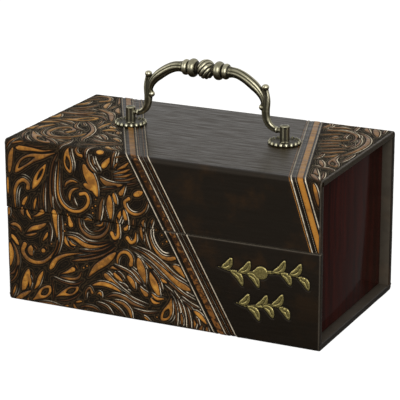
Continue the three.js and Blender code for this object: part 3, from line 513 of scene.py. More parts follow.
boardScrolls = [
    ("leaf", 2.4, (10.6, 39), (9.8, 42), (11, 45)),
    ("leaf", 2.0, (12.6, 40), (13.6, 43), (16.4, 46.8)),
    ("drop", 3.2, (16.4, 44.2), (20, 43), (23.6, 40)),
    ("line", 1.0, (2.8, 44), (4, 46), (5.6, 47.6)),
    ("leaf", 2.0, (0.6, 40), (1.2, 43), (1.0, 46.5)),
    ("leaf", 2.4, (1, 51.4), (5, 50.4), (8, 52), (9.2, 55.4)),
    ("line", 1.0, (1.6, 52), (3.6, 53.4), (6, 54.2)),
    ("line", 1.2, (2.4, 55), (5, 56.8), (7.8, 59)),
    ("leaf", 3.0, (2.2, 56.6), (4.6, 59.6), (7.4, 63)),
    ("leaf", 3.8, (1, 61.5), (1.8, 69), (0.6, 77)),
    ("flow", 2.2, (2, 60), (5, 65), (6.4, 71), (5.4, 76.4), (2.6, 80), (-1, 81.6)),
    ("flow", 1.2, (6.4, 76), (4.6, 81.4), (2.4, 84.4), (-0.5, 86)),
    ("leaf", 3.2, (25.6, 47), (21, 49.8), (16, 51.6), (11.6, 55.2)),
    ("leaf", 1.8, (19.6, 53.6), (15, 55.4), (10.6, 56)),
    ("leaf", 2.0, (26.2, 52), (24.8, 55), (22.4, 58.4)),
    ("drop", 3.6, (32.6, 58), (32, 52), (31.2, 46), (30.8, 38.5)),
    ("curl", 3.2, (32.4, 56), (31, 62), (27.6, 66.6), (22.6, 70.4), (17, 71.4), (11.8, 69.4), (9.6, 65.4),
     (11, 61.6)),
    ("line", 1.1, (34.6, 40), (35, 48), (34.4, 56), (32.6, 62), (29, 67.6)),
    ("line", 0.9, (26.6, 46), (28.2, 50), (27.8, 55), (26.6, 59)),
    ("leaf", 3.8, (15.6, 61.8), (14.4, 65), (15.8, 68)),
    ("line", 1.2, (16.4, 61.2), (18.2, 62.4), (19.2, 64)),
    ("berry", 3.0, (23, 63.6)), ("line", 1.0, (23.6, 60.8), (25, 61.4), (25.8, 63)),
    ("berry", 1.6, (28.4, 58.8)),
    ("drop", 3.4, (39, 38), (40.4, 43), (41.4, 46.4)),
    ("berry", 1.7, (37.6, 46)), ("berry", 1.6, (37, 50)),
    ("leaf", 3.0, (37.2, 52.8), (43, 53.2), (50, 56.4), (58, 56.4), (71, 51.4)),
    ("leaf", 2.4, (37.4, 52.4), (38, 56.4), (43.6, 60)),
    ("leaf", 1.7, (39.8, 54.6), (41.4, 57), (45.2, 57.8)),
    ("flow", 1.1, (41, 50.6), (46, 51.2), (51, 53.8), (58, 54), (66, 51.6)),
    ("drop", 3.2, (52, 60.6), (43, 62.6), (36, 64.8), (31, 68), (27.2, 74)),
    ("flow", 2.4, (41, 67), (46, 65.8), (52, 64), (58, 61.8), (64, 58.6), (69.6, 54.4)),
    ("flow", 1.2, (43, 64.2), (50, 62.8), (57, 60.4), (63, 57.4), (68.4, 53.6)),
    ("flow", 1.3, (46, 60), (54, 59.4), (61, 57.4), (67.6, 53.4)),
    ("leaf", 4.6, (69.6, 57.6), (63, 64), (56.6, 69), (51.4, 75.4)),
    ("curl", 3.0, (70.4, 66), (70.5, 61), (73, 57.4), (76.6, 57), (79, 60), (78.6, 63.6)),
    ("flow", 2.3, (46.4, 39), (46.8, 44.4), (49, 48.6), (54, 51), (60, 49.8), (64, 45.8), (66, 39.6)),
    ("flow", 1.3, (54, 47.4), (59, 46.6), (62.6, 43.4), (63.6, 39.8)),
    ("leaf", 1.6, (56.4, 43.8), (60.6, 43), (62, 40)),
    ("leaf", 2.0, (49.6, 41.6), (52.4, 40.6), (55, 41.6)),
    ("line", 0.9, (48.6, 42), (49.4, 45.6), (53, 48.6)),
    ("curl", 3.0, (70.4, 38), (71, 44), (70.6, 48.2), (68.6, 49.6), (67, 47)),
    ("drop", 2.6, (77, 39), (76.6, 42), (75.2, 43.6)),
    ("curl", 3.0, (82, 44.4), (81.4, 48.8), (79, 50.6), (76.8, 48.4)),
    ("leaf", 2.0, (85, 39), (85.4, 44), (86.6, 49.5)),
    ("line", 1.0, (87.2, 43), (88.6, 49), (90.6, 53.4)),
    ("drop", 2.8, (90.8, 38), (90.6, 45), (92.8, 51), (97.4, 55.8), (102, 56.8), (106.8, 55.4)),
    ("berry", 1.4, (94.4, 41)), ("berry", 1.4, (98, 43.6)), ("berry", 1.6, (101, 46.8)),
     ("berry", 1.3, (98.6, 48.4)),
    ("drop", 3.8, (78, 53.4), (86, 55.4), (93, 59.6), (100, 64.6), (107, 69.8), (115, 73)),
    ("flow", 1.2, (82, 52.6), (90, 55), (98, 59.8), (106, 65.6), (115, 69.8)),
    ("flow", 1.5, (84, 57), (92, 62), (98, 67), (104, 71.6), (111, 76), (119, 79)),
    ("drop", 2.2, (80, 56), (86, 59.6), (91.6, 64), (96, 68.6), (101, 71)),
    ("flow", 1.0, (81.4, 57.8), (85.8, 61), (88.8, 65)),
    ("leaf", 5.0, (83.2, 58.6), (85.4, 66.4), (87.4, 74)),
    ("leaf", 4.8, (91, 65), (93, 72.4), (96.6, 80.6)),
    ("line", 1.2, (91.6, 65), (95.6, 69.6), (98, 75.6)),
    ("flow", 1.2, (99, 72.4), (104.6, 77), (108, 84), (109.4, 96)),
    ("flow", 1.1, (104.4, 74.4), (109, 81), (111.4, 88), (112.4, 96)),
    ("flow", 1.2, (109, 78.6), (112.8, 84), (114.8, 91), (115.4, 97)),
    ("flow", 1.3, (102, 76), (104.8, 80), (106.4, 86), (106.6, 96)),
    ("leaf", 1.8, (109.6, 87), (110.4, 95)), ("leaf", 2.0, (117.2, 86), (118, 90), (117.8, 96)),
    ("eye", 6.0, (103.6, 79.6), (102.4, 85), (100.4, 89.4), (97.6, 93)),
    ("flow", 1.3, (109.4, 77.6), (115, 81), (121, 83)),
    ("flow", 1.4, (110, 79.6), (114.8, 83), (119, 89), (121, 94)),
    ("leaf", 3.0, (117, 84.4), (121, 87), (125.6, 91.6)),
    ("leaf", 3.4, (104.4, 60.2), (108, 61.8), (112.6, 66.6)),
    ("drop", 3.2, (78, 81.4), (72, 78.4), (67, 75.4), (62, 71.8)),
    ("flow", 1.1, (66, 76.4), (73, 80.2), (80, 83.8), (90, 86)),
    ("leaf", 2.4, (65.4, 67.6), (69, 66.8), (73.6, 68.4)),
    ("flow", 1.5, (68, 65.2), (73, 66.8), (78, 68.8), (82.6, 73), (88, 76)),
    ("flow", 1.4, (78.4, 66), (82, 69), (86.4, 74)),
    ("leaf", 3.4, (67.6, 70.2), (70, 71.6), (73.6, 74.6)), ("line", 1.0, (69.6, 69), (72.4, 70.6),
     (74.4, 73)),
    ("leaf", 3.2, (76, 70.2), (79, 73.4), (81.4, 78)),
    ("line", 1.0, (72, 75.6), (74.6, 76.6), (76.6, 78)),
    ("drop", 3.2, (83.6, 75.6), (85.8, 78), (88.4, 80)),
    ("leaf", 2.6, (90.6, 81), (93, 83.4), (97, 83.2)),
    ("leaf", 2.2, (91, 78.4), (94.6, 81), (100, 80.4)),
    ("leaf", 3.0, (53.6, 79.6), (60, 77.8), (66, 78.4), (74, 81.4)),
    ("flow", 2.2, (63, 85.2), (68, 83.2), (74, 84), (80, 86.6), (88, 88)),
    ("flow", 2.4, (68, 86.6), (73.6, 87.6), (77.4, 91), (79, 96.4)),
    ("flow", 1.2, (60, 87.8), (67, 89), (72.4, 92.6), (75.4, 96.4)),
    ("flow", 1.2, (57, 89.4), (63, 91), (67.4, 95.4)),
    ("flow", 1.4, (45.6, 94), (50.6, 92.6), (56, 93), (60, 95.6)),
    ("curl", 2.0, (49.8, 88), (50.2, 83.6), (52.6, 81.4), (54, 84)),
    ("leaf", 1.8, (57, 84.6), (59, 83.4), (60, 86)),
    ("drop", 3.2, (33.6, 76), (38.6, 74), (42.6, 71.6)),
    ("flow", 1.9, (33, 77.6), (40, 78), (45, 76.6), (47.6, 72.4)),
    ("berry", 1.6, (48.8, 70)), ("berry", 1.5, (51, 68.6)), ("line", 1.0, (43, 68.6), (44.4, 70), (45, 72)),
    ("eye", 5.4, (30.6, 90), (35, 87.6), (40, 85.4), (45, 82.2)),
    ("line", 1.0, (31, 92), (37, 91.4), (43, 88.6), (46.6, 85)),
    ("eye", 6.4, (15.4, 94.4), (20, 91), (23.4, 88.4), (27, 84.8)),
    ("leaf", 4.6, (13.2, 76), (11.8, 81), (10, 86), (8.6, 91.4)),
    ("lobe", 2.2, (12.4, 78.6), (13.8, 83), (13.4, 88)),
    ("leaf", 2.8, (22.6, 75.8), (20.4, 80), (18.6, 84.6), (16, 88.6)),
    ("line", 0.9, (15, 76.6), (16, 80), (15.8, 84)),
    ("leaf", 1.6, (4.4, 87), (3, 91), (1.6, 95)),
    ("line", 0.9, (27.8, 79), (29, 86), (28.8, 93)),
    ("leaf", 2.0, (35.6, 95.4), (39, 94)), ("leaf", 1.6, (43, 91.4), (48, 90)),
    ("flow", 1.1, (80, 89.6), (88, 90.6), (96, 89)),
    ("leaf", 1.6, (86, 92.6), (91, 96)), ("berry", 1.5, (94.6, 92)),
    ("flow", 1.2, (29, 78.6), (36, 80.6), (44, 80.4), (49, 77)),
]

lidScrolls = [
    ("flow", 1.6, (3.6, -22), (4.4, -14), (8, -7.4), (13.4, -1.6)),
    ("line", 1.2, (7.4, -12), (10.6, -6.4), (16, -1.6)),
    ("eye", 7.4, (7, -20.5), (11.6, -14.6), (18, -9.4), (26.6, -3.8)),
    ("flow", 1.6, (14, -17), (21, -12), (28, -7), (33, -1.6)),
    ("curl", 3.0, (29, -48), (35.4, -38), (36.4, -27), (31, -18), (22, -16.4), (15.6, -23), (16.6, -32),
     (22.4, -36),
     (27.4, -31.6), (25.6, -26.6)),
    ("curl", 1.8, (13, -38), (10.6, -29), (12.6, -20), (19, -14.6), (27, -13.4), (34, -15.6)),
    ("flow", 2.4, (43, -13), (40, -18), (39.4, -26), (37, -36), (31, -45), (24, -52)),
    ("leaf", 3.6, (0, -23), (3.2, -27), (4, -32.6)),
    ("leaf", 2.8, (5.6, -25), (7.4, -32), (12.4, -39)),
    ("leaf", 2.4, (37.6, -40), (37.8, -48), (39.6, -56)),
    ("eye", 7.0, (9.6, -50), (15, -51), (21, -54), (27.6, -60)),
    ("leaf", 3.0, (0.6, -38), (6, -42), (13, -44)),
    ("flow", 2.0, (0.6, -45), (8, -47), (16, -46), (22, -42)),
    ("leaf", 3.4, (0.4, -50), (4, -54), (3, -60)),
    ("flow", 3.2, (0.6, -63), (8, -63), (15, -65.6), (20.6, -71)),
    ("flow", 3.4, (17.6, -78), (23, -75.6), (29, -72), (33, -66), (37.6, -57)),
    ("flow", 2.0, (13, -61), (21, -64), (29, -63), (35, -57)),
    ("leaf", 3.2, (21, -80.6), (18.6, -86), (17.6, -94)),
    ("leaf", 3.0, (27.6, -85), (30, -79), (34, -74)),
    ("flow", 2.2, (1, -72), (7, -75), (11, -80), (13.6, -88)),
    ("leaf", 2.6, (0.6, -80), (4.6, -85), (6, -92)),
    ("curl", 2.6, (1, -98), (6, -104), (12, -103), (14.6, -97), (11, -93)),
    ("flow", 2.0, (17, -106), (21, -99), (24, -91)),
    ("leaf", 3.4, (42, -37), (46.4, -41), (50.6, -39.6)),
    ("leaf", 3.0, (42, -48), (45, -45), (47.4, -46)),
    ("leaf", 2.6, (51, -40), (53.6, -35)),
    ("line", 1.5, (43, -8), (52, -11.4), (60, -15), (66.4, -18.4)),
    ("flow", 2.4, (44, -21), (50, -17.6), (56, -17.4), (62, -20.6)),
    ("leaf", 2.6, (54.6, -27), (58.6, -24.6), (62, -21.4)),
    ("flow", 2.0, (44, -31), (49, -27), (53, -22)),
    ("drop", 3.4, (69, -6), (64.6, -7), (60, -9.6)),
    ("flow", 2.6, (170.6, -49.6), (176, -52.6), (182, -58)),
    ("flow", 2.2, (168, -55.6), (174, -58.8), (181, -64)),
    ("flow", 2.2, (165.4, -61), (170, -63.6), (176.4, -68)),
    ("flow", 2.8, (163, -66), (168, -68.6), (173.4, -72)),
    ("flow", 2.4, (161.4, -72), (167, -74.4), (173, -77), (177, -81)),
    ("curl", 3.2, (178, -76), (178.4, -84), (174.6, -91.4), (167, -95), (158, -93.6)),
    ("drop", 3.4, (163, -77), (165.4, -79), (167, -83)),
    ("flow", 2.4, (157.6, -83), (162, -85.6), (167.4, -89)),
    ("leaf", 3.0, (156, -98.4), (162, -101), (169.4, -100.6)),
    ("eye", 5.6, (182.2, -46), (182.2, -40), (184.4, -34), (188.4, -28.6)),
    ("flow", 3.0, (182.4, -47), (185, -53), (187, -61), (187.8, -70), (187, -79), (184.4, -86.4),
     (180.6, -91.6),
     (175, -96)),
    ("flow", 1.6, (181.6, -62), (183.4, -70), (182.4, -79), (179, -87)),
    ("curl", 1.8, (180, -76), (181.4, -70), (178.8, -66.4), (175.8, -69)),
    ("flow", 2.6, (179.6, -21.6), (182.6, -14.4), (186, -7.6), (189.4, -1.4)),
    ("line", 1.4, (186.4, -17), (188.4, -11), (190, -5)),
    ("leaf", 2.6, (175.6, -37.4), (178.6, -32), (182.4, -25.6)),
    ("leaf", 3.0, (175, -43), (178.6, -45.6), (181, -51)),
    ("leaf", 2.8, (175.4, -108), (177, -103), (181.4, -97.6)),
    ("leaf", 3.8, (180.4, -107.4), (183.6, -101), (188, -91)),
    ("leaf", 2.4, (152.4, -96), (154, -102), (153.8, -108)),
    ("leaf", 2.8, (181, -12), (186, -6), (190, -1)),
    ("leaf", 2.6, (187, 1), (189, 8), (190.6, 15)),
]

# Gold ornament on the lower board: two rows of citron sprigs, each a stem, leaves and a fruit
goldRows = [
    {"start": (132, 56.4), "end": (182, 56.0), "sway": 1.5, "leaves": 5, "leaf": 10.4, "fruit": 0.5},
    {"start": (142.6, 75.4), "end": (171, 75), "sway": 1.2, "leaves": 3, "leaf": 10.0, "fruit": 0.5},
]
goldParts = {
    "stem": 1.9, "leaf": 3.7, "fruit": 7.4, "bud": 2.2, "budReach": 0.4, "fruitReach": (4, 1.4),
    "stemPoints": 9,
    "firstLeaf": 0.42, "stagger": 0.25, "besideFruit": 0.35, "leafLength": (0.92, 0.12, 5),
    "tip": (0.74, 0.72), "bend": (0.5, 0.22),
}

# Depths of the embossing below the leather's outside, and widths of its parts, in millimetres
relief = {
    "plain": 0.26, "ground": 0.64, "crown": 0.56, "crownWidth": 1.0, "maskEase": 0.5,
    "ridgeWidth": 0.34, "litSide": (0.8, 0.55), "litGain": 1.6, "softening": 3,
    "easeEnds": 1.6, "easeBase": (90.5, 94.5), "easeFold": (1, 5), "eased": 0.3,
    "bandGround": 0.5, "bandEase": 0.4, "stripeTop": 0.16, "stripeEase": 0.5,
    "lineTop": 0.06, "lineWidth": 0.42, "lineSpread": 0.72, "faintLine": 0.2, "faintAway": 0.14,
    "brownHalf": 0.42,
    "goldTop": 0.02, "goldGroove": 0.55, "goldEdge": (0.8, 0.3), "goldRise": (0.15, 0.55),
    "border": 0.8, "goldBorder": 0.12, "strokeStep": 0.3, "strokeReach": 3.2,
    "glintReach": 1.5, "glintClear": 0.3,
}

# What each field says where nothing is drawn: a distance far outside or inside, or no tone, painted glint,
# wear or painted sheen
resting = {
    "edge": -9.0, "line": 9.0, "around": 9.0, "silverAndGlint": -2.0, "glintStrength": 0.0,
    "gold": -6.0, "facing": 0.0, "tone": 0.0,
}
# Between strokes: the distance a field starts from, the least that the finish is given, and the tone
bareEdge = -4.6
leastEdge = -4.4
bareTone = 0.4

bands = {
    "left": {"lean": 0.551, "lines": (77.3, 84.5, 90.6), "faint": (87.2,), "stripe": (79.7, 83.5),
             "from": 76.2, "to": 91.6, "paint": 0.5, "tone": -1.0, "lidTone": 0.25, "brown": (85.9, 88.8)},
    "right": {"lean": 0.322, "lines": (174.5, 182.6), "faint": (176.9,), "stripe": (177.8, 181.4),
              "from": 172.7, "to": 183.4, "paint": 0.9, "tone": 0.9, "lidTone": 0.6, "brown": (173.3,),
              "foot": 40.8},
}

# Width along a stroke, as a share of half its width:
# least + (1 - least) * sin(pi * share ** skew) ** fullness, or as strokeShape says.
# A slit has a width, a start, a run and what it falls short by.
strokeKinds = {
    "leaf": {"least": 0, "skew": 0.85, "fullness": 0.75},
    "lobe": {"least": 0, "skew": 0.85, "fullness": 0.75},
    "split": {"least": 0, "skew": 1.15, "fullness": 0.7, "slit": (0.3, 0.2, 0.45, 0.02)},
    "eye": {"least": 0.16, "skew": 1.7, "fullness": 0.8, "slit": (0.5, 0.44, 0.46, 0.05)},
    "line": {"least": 0.3, "skew": 1, "fullness": 0.5},
    "flow": {"least": 0.16, "skew": 1, "fullness": 0.6},
    "veined": {"lead": 0.1, "skew": 0.9, "fullness": 0.8, "extra": 0.25, "vein": (0.22, 0.86, 0.14)},
    "drop": {"least": 0.14, "widest": 0.86, "skew": 1.1, "blunt": 0.08, "roundness": 0.4},
    "curl": {"least": 0.3, "swell": 0.55, "skew": 0.62, "bulb": 0.95, "bulbRun": 0.1},
}


def strokeShape(kind, width, points):
    # Centres, radii and slit radii along one stroke
    if kind == "berry":
        return np.array(points, float), np.array([width / 2]), np.array([-1.0])
    centres = throughPoints(points, relief["strokeStep"])
    share = np.linspace(0, 1, len(centres))
    half = width / 2
    slit = np.full(len(centres), -1.0)
    shape = strokeKinds[kind]
    if kind == "veined":
        run = np.clip(share * (1 + shape["lead"]) - shape["lead"], 0, 1)
        radii = half * np.sin(np.pi * run ** shape["skew"]) ** shape["fullness"] + shape["extra"]
        start, end, vein = shape["vein"]
        slit = np.where((share > start) & (share < end), vein, -1.0)
    elif kind == "drop":
        blunt = np.clip((1 - share) / shape["blunt"], 0, 1) ** shape["roundness"]
        swell = np.clip(share / shape["widest"], 0, 1) ** shape["skew"]
        radii = half * (shape["least"] + (1 - shape["least"]) * swell * blunt)
    elif kind == "curl":
        swell = np.sin(np.pi * np.clip(share * shape["skew"], 0, 1))
        radii = half * (shape["least"] + shape["swell"] * swell)
        bulb = np.clip((share - (1 - shape["bulbRun"])) / shape["bulbRun"], 0, 1)
        radii = radii * (1 - bulb) + half * shape["bulb"] * bulb
    else:
        swell = np.sin(np.pi * share ** shape["skew"]) ** shape["fullness"]
        radii = half * (shape["least"] + (1 - shape["least"]) * swell)
    if "slit" in shape:
        wide, start, run, less = shape["slit"]
        slit = half * wide * np.sin(np.pi * np.clip((share - start) / run, 0, 1)) - less
    return centres, radii, slit


def discField(across, down, centres, radii, reach, strengths=None):
    # How far inside a row of discs each point of the grid is, in the window round them,
    # and the strength of the nearest disc where strengths are given
    low, high = centres.min(axis=0) - reach, centres.max(axis=0) + reach
    columns = slice(*np.searchsorted(across, (low[0], high[0])))
    rows = slice(*np.searchsorted(down, (low[1], high[1])))
    u = across[columns][None, :]
    v = down[rows][:, None]
    inside = np.full((v.size, u.size), resting["edge"])
    strength = np.zeros(inside.shape)
    if inside.size:
        for index, ((cu, cv), radius) in enumerate(zip(centres, radii)):
            if radius <= 0:
                continue
            here = radius - np.sqrt((u - cu) ** 2 + (v - cv) ** 2)
            if strengths is not None:
                strength[here > inside] = strengths[index]
            np.maximum(inside, here, out=inside)
    return rows, columns, inside, strength


def drawStroke(edge, across, down, stroke, border=relief["border"]):
    # Raises the signed distance field where the stroke lies. A stroke cuts its outline into older ones,
    # but a lobe joins them. Returns the window and where in it the stroke lies.
    kind, width, *points = stroke
    centres, radii, slit = strokeShape(kind, width, points)
    reach = radii.max() + relief["strokeReach"]
    rows, columns, inside, _ = discField(across, down, centres, radii, reach)
    window = edge[rows, columns]
    if not window.size:
        return None
    if slit.max() > 0:
        inside = np.minimum(inside, -discField(across, down, centres, slit, reach)[2])
    own = inside > (0 if kind == "lobe" else -border)
    if kind != "lobe":
        np.minimum(window, -inside - border, out=window)
    np.maximum(window, inside, out=window)
    return rows, columns, own


# Painted glint lines, highlights painted in silver: half width, gaps to the stroke, the share drawn twice,
# and how strongly they show
silverAndGlint = {
    "seed": 5, "half": 0.14, "gap": 0.62, "second": 2.1, "doubled": 0.15, "least": 0.15,
    "light": (0.824, -0.567), "shortest": 18, "amount": (0.15, 0.7), "across": (45, 100),
    "lidAmount": (0.4, 0.5), "turning": (1.6, 0.2),
}


def glintLines(strokes):
    # Fine lines of painted highlight that run beside the longer strokes, on the side that faces up and to the
    # right, towards the light
    random = np.random.default_rng(silverAndGlint["seed"])
    light = np.array(silverAndGlint["light"])
    lines = []
    for kind, width, *points in strokes:
        centres, radii, _ = strokeShape(kind, width, points)
        chance, strong = random.random(2)
        if len(centres) < silverAndGlint["shortest"]:
            continue
        tangent = np.gradient(centres, axis=0)
        tangent /= np.linalg.norm(tangent, axis=1)[:, None]
        normal = np.stack([tangent[:, 1], -tangent[:, 0]], 1)
        facing = normal @ light
        normal *= np.sign(facing)[:, None]
        share = np.linspace(0, 1, len(centres))
        least, more = silverAndGlint["amount"]
        middle, spread = silverAndGlint["across"]
        amount = least + more * strong + (centres[:, 0].mean() - middle) / spread
        if centres[:, 1].mean() < 0:
            least, more = silverAndGlint["lidAmount"]
            amount = max(amount, least + more * strong)
        amount = min(1, amount)
        taper = np.sin(np.pi * share) ** 0.5
        gain, start = silverAndGlint["turning"]
        strength = amount * taper * np.clip(np.abs(facing) * gain - start, 0, 1)
        shown = strength > silverAndGlint["least"]
        for place in (silverAndGlint["gap"], silverAndGlint["second"]) if chance < silverAndGlint["doubled"] else (silverAndGlint["gap"],):
            if shown.any():
                lines.append(((centres + normal * (radii + place)[:, None])[shown], strength[shown]))
    return lines


def stripPlace(side, across, down):
    return across - bands[side]["lean"] * down


def ornamentMask(across, down):
    # How far inside the scrollwork a point is: left of the left band or right of the right one
    left = bands["left"]["from"] - stripPlace("left", across, down)
    right = stripPlace("right", across, down) - bands["right"]["to"]
    return np.maximum(left, right)


# Fillers for the gaps between strokes: the search grid, how far and how thick they grow, and in three rounds
# the areas (across, down) that are filled, the least gap and the widest filler
filling = {
    "seed": 7, "cell": 0.9, "margin": 0.6, "overBand": 0.4, "most": 150, "spent": 1.4,
    "ways": 12, "turn": 0.2, "longest": 10, "clear": 1.9, "narrowest": 1.7, "beside": 3.2, "shortest": 2.4,
    "sway": 0.18, "overrun": 0.4, "flow": 7, "leaf": 4,
    "rounds": (
        {"areas": [((0, 132), (0, 100))], "least": 4.2, "widest": 3.4},
        {"areas": [((0, 80), (-depth, 0)), ((132, length), (-depth, 26))], "least": 3.4, "widest": 1.5},
        {"areas": [((100, length), (-depth - topZ, -depth)), ((0, 40), (-depth - topZ, -depth))],
         "least": 3.1, "widest": 3.4},
    ),
}


def fillers(strokes, areas, least, widest):
    # Leaves, drops and berries that fill the widest gaps that the drawn strokes leave
    random = np.random.default_rng(filling["seed"])
    cell, margin = filling["cell"], filling["margin"]
    added = []
    for (u0, u1), (v0, v1) in areas:
        across = np.arange(u0, u1, cell)
        down = np.arange(v0, v1, cell)
        edge = np.full((len(down), len(across)), resting["gold"])
        for stroke in strokes + added:
            drawStroke(edge, across, down, stroke)
        room = ornamentMask(across[None, :], down[:, None])
        wall = np.minimum(across[None, :] - u0 + margin, u1 + margin - across[None, :])
        for _ in range(filling["most"]):
            free = np.minimum(np.minimum(-edge, room + filling["overBand"]), wall)
            row, column = np.unravel_index(np.argmax(free), free.shape)
            clearance = free[row, column]
            if clearance < least:
                break
            centre = np.array([across[column], down[row]])
            stroke = fillerAt(centre, clearance, free, across, down, random, widest)
            added.append(stroke)
            drawStroke(edge, across, down, stroke)
            away = (across[None, :] - centre[0]) ** 2 + (down[:, None] - centre[1]) ** 2
            near = away < filling["spent"] ** 2
            edge[near] = np.maximum(edge[near], 0)
    return added


def fillerAt(centre, clearance, free, across, down, random, widest):
    # The filler lies along the way that has the longest clear run through its centre
    def clearanceAt(place):
        column = np.clip(np.searchsorted(across, place[0]), 0, len(across) - 1)
        row = np.clip(np.searchsorted(down, place[1]), 0, len(down) - 1)
        return free[row, column]

    cell, over = filling["cell"], filling["overrun"]
    total, way, before, after = 0, None, 0, 0
    for angle in np.linspace(0, np.pi, filling["ways"], endpoint=False) + random.uniform(0, filling["turn"]):
        trial = np.array([math.cos(angle), math.sin(angle)])
        reaches = []
        for sign in (-1, 1):
            reach = 0
            while reach < filling["longest"]:
                if clearanceAt(centre + sign * trial * (reach + cell)) <= filling["clear"]:
                    break
                reach += cell
            reaches.append(reach)
        if sum(reaches) > total:
            total, way, (before, after) = sum(reaches), trial, reaches
    width = max(min(filling["narrowest"], widest), min(widest, 2 * clearance - filling["beside"]))
    if way is None or total < filling["shortest"]:
        return ("berry", width, tuple(centre))
    side = np.array([-way[1], way[0]]) * random.uniform(-filling["sway"], filling["sway"]) * total
    start, end = centre - way * (before + over), centre + way * (after + over)
    points = [tuple(start), tuple(centre + side), tuple(end)]
    if random.random() < 0.5:
        points.reverse()
    kind = "flow" if total > filling["flow"] else ("leaf" if total > filling["leaf"] else "drop")
    return (kind, width, *points)


def moved(strokes, place):
    return [(kind, width, *[place(*point) for point in points]) for kind, width, *points in strokes]


# The back repeats the front's scrolls end for end, and some of the lid's in its far corner
backPlan = {"scale": (0.97, 0.96), "gap": 1.5, "corner": 8, "cornerScale": (0.5, 0.9), "cornerGap": 2}

# How brightly a stroke was painted: thin runs and full ones, and the share left at the lid's right end
tones = {"seed": 11, "thin": (0, 0.5), "full": (0.4, 1), "rightEnd": 150, "rightShare": 0.3}


def backScrolls():
    (acrossScale, downScale), gap = backPlan["scale"], backPlan["gap"]
    strokes = moved(flapScrolls + boardScrolls,
                    lambda u, v: (length - acrossScale * u, -depth - gap - downScale * v))
    (cornerAcross, cornerDown), cornerGap = backPlan["cornerScale"], backPlan["cornerGap"]
    return strokes + moved(lidScrolls[:backPlan["corner"]],
                           lambda u, v: (cornerAcross * u, -depth - cornerGap + cornerDown * v))


def strokeTone(stroke, random):
    kind, _, (u, v), *_ = stroke
    value = random.uniform(*tones["thin" if kind in ("flow", "line") else "full"])
    return value * tones["rightShare"] if u > tones["rightEnd"] and -depth < v < 0 else value


sheetScrolls = flapScrolls + boardScrolls + lidScrolls + backScrolls()
for plan in filling["rounds"]:
    sheetScrolls += fillers(sheetScrolls, **plan)
toneRandom = np.random.default_rng(tones["seed"])
strokeTones = [strokeTone(stroke, toneRandom) for stroke in sheetScrolls]
sheetGlints = glintLines(sheetScrolls)
print("scrollwork drawn:", len(sheetScrolls), "strokes")


def goldStrokes():
    parts = goldParts
    strokes = []
    for row in goldRows:
        start, end = np.array(row["start"]), np.array(row["end"])
        along = end - start
        way = along / np.linalg.norm(along)
        side = np.array([-way[1], way[0]])

        def onStem(share):
            return start + along * share + side * row["sway"] * math.sin(2 * math.pi * share)

        stem = [tuple(onStem(share)) for share in np.linspace(0, 1, parts["stemPoints"])]
        strokes.append(("flow", parts["stem"], *stem))
        fruiting = row["leaves"] > 3
        for leaf in range(row["leaves"]):
            for hand in (-1, 1):
                share = (leaf + parts["firstLeaf"] + parts["stagger"] * hand) / row["leaves"]
                if fruiting and abs(share - row["fruit"]) < parts["besideFruit"] / row["leaves"]:
                    continue
                root = onStem(share)
                least, more, turns = parts["leafLength"]
                reach = row["leaf"] * (least + more * math.sin(turns * share + hand))
                tip, bend = (root + way * reach * ahead + side * hand * reach * aside
                             for ahead, aside in (parts["tip"], parts["bend"]))
                strokes.append(("veined", parts["leaf"], tuple(root), tuple(bend), tuple(tip)))
        if fruiting:
            middle = start + along * row["fruit"]
            behind, ahead = parts["fruitReach"]
            ends = tuple(middle - way * behind), tuple(middle + way * ahead)
            strokes.append(("drop", parts["fruit"], *ends))
        strokes.append(("berry", parts["bud"], tuple(end + way * parts["budReach"])))
    return strokes


def softened(field, down, rounds):
    # rows that lie far apart do not mix
    close = (np.diff(down) < 1)[:, None] / 4
    field = field.copy()
    for _ in range(rounds):
        step = np.diff(field, axis=0) * close
        field[:-1] += step
        field[1:] -= step
        step = np.diff(field, axis=1) / 4
        field[:, :-1] += step
        field[:, 1:] -= step
    return field


def strokeFields(across, down):
    # How far inside a stroke each point is, and how brightly that stroke was painted
    edge = np.full((len(down), len(across)), bareEdge)
    tone = np.full(edge.shape, bareTone)
    for stroke, value in zip(sheetScrolls, strokeTones):
        placed = drawStroke(edge, across, down, stroke)
        if placed:
            rows, columns, own = placed
            tone[rows, columns][own] = value
    return edge, tone


def glintFields(across, down, edge, room):
    # How far inside a painted glint line each point is, clear of strokes and bands, and how strongly the
    # glint shows
    field = np.full(edge.shape, resting["silverAndGlint"])
    glintStrength = np.zeros(edge.shape)
    reach = relief["glintReach"]
    for centres, strengths in sheetGlints:
        radii = [silverAndGlint["half"]] * len(centres)
        rows, columns, inside, strength = discField(across, down, centres, radii, reach, strengths)
        window = field[rows, columns]
        glintStrength[rows, columns] = np.where(inside > window, strength, glintStrength[rows, columns])
        np.maximum(window, inside, out=window)
    clear = relief["glintClear"]
    return np.minimum(field, np.minimum(-edge - clear, room - clear)), glintStrength


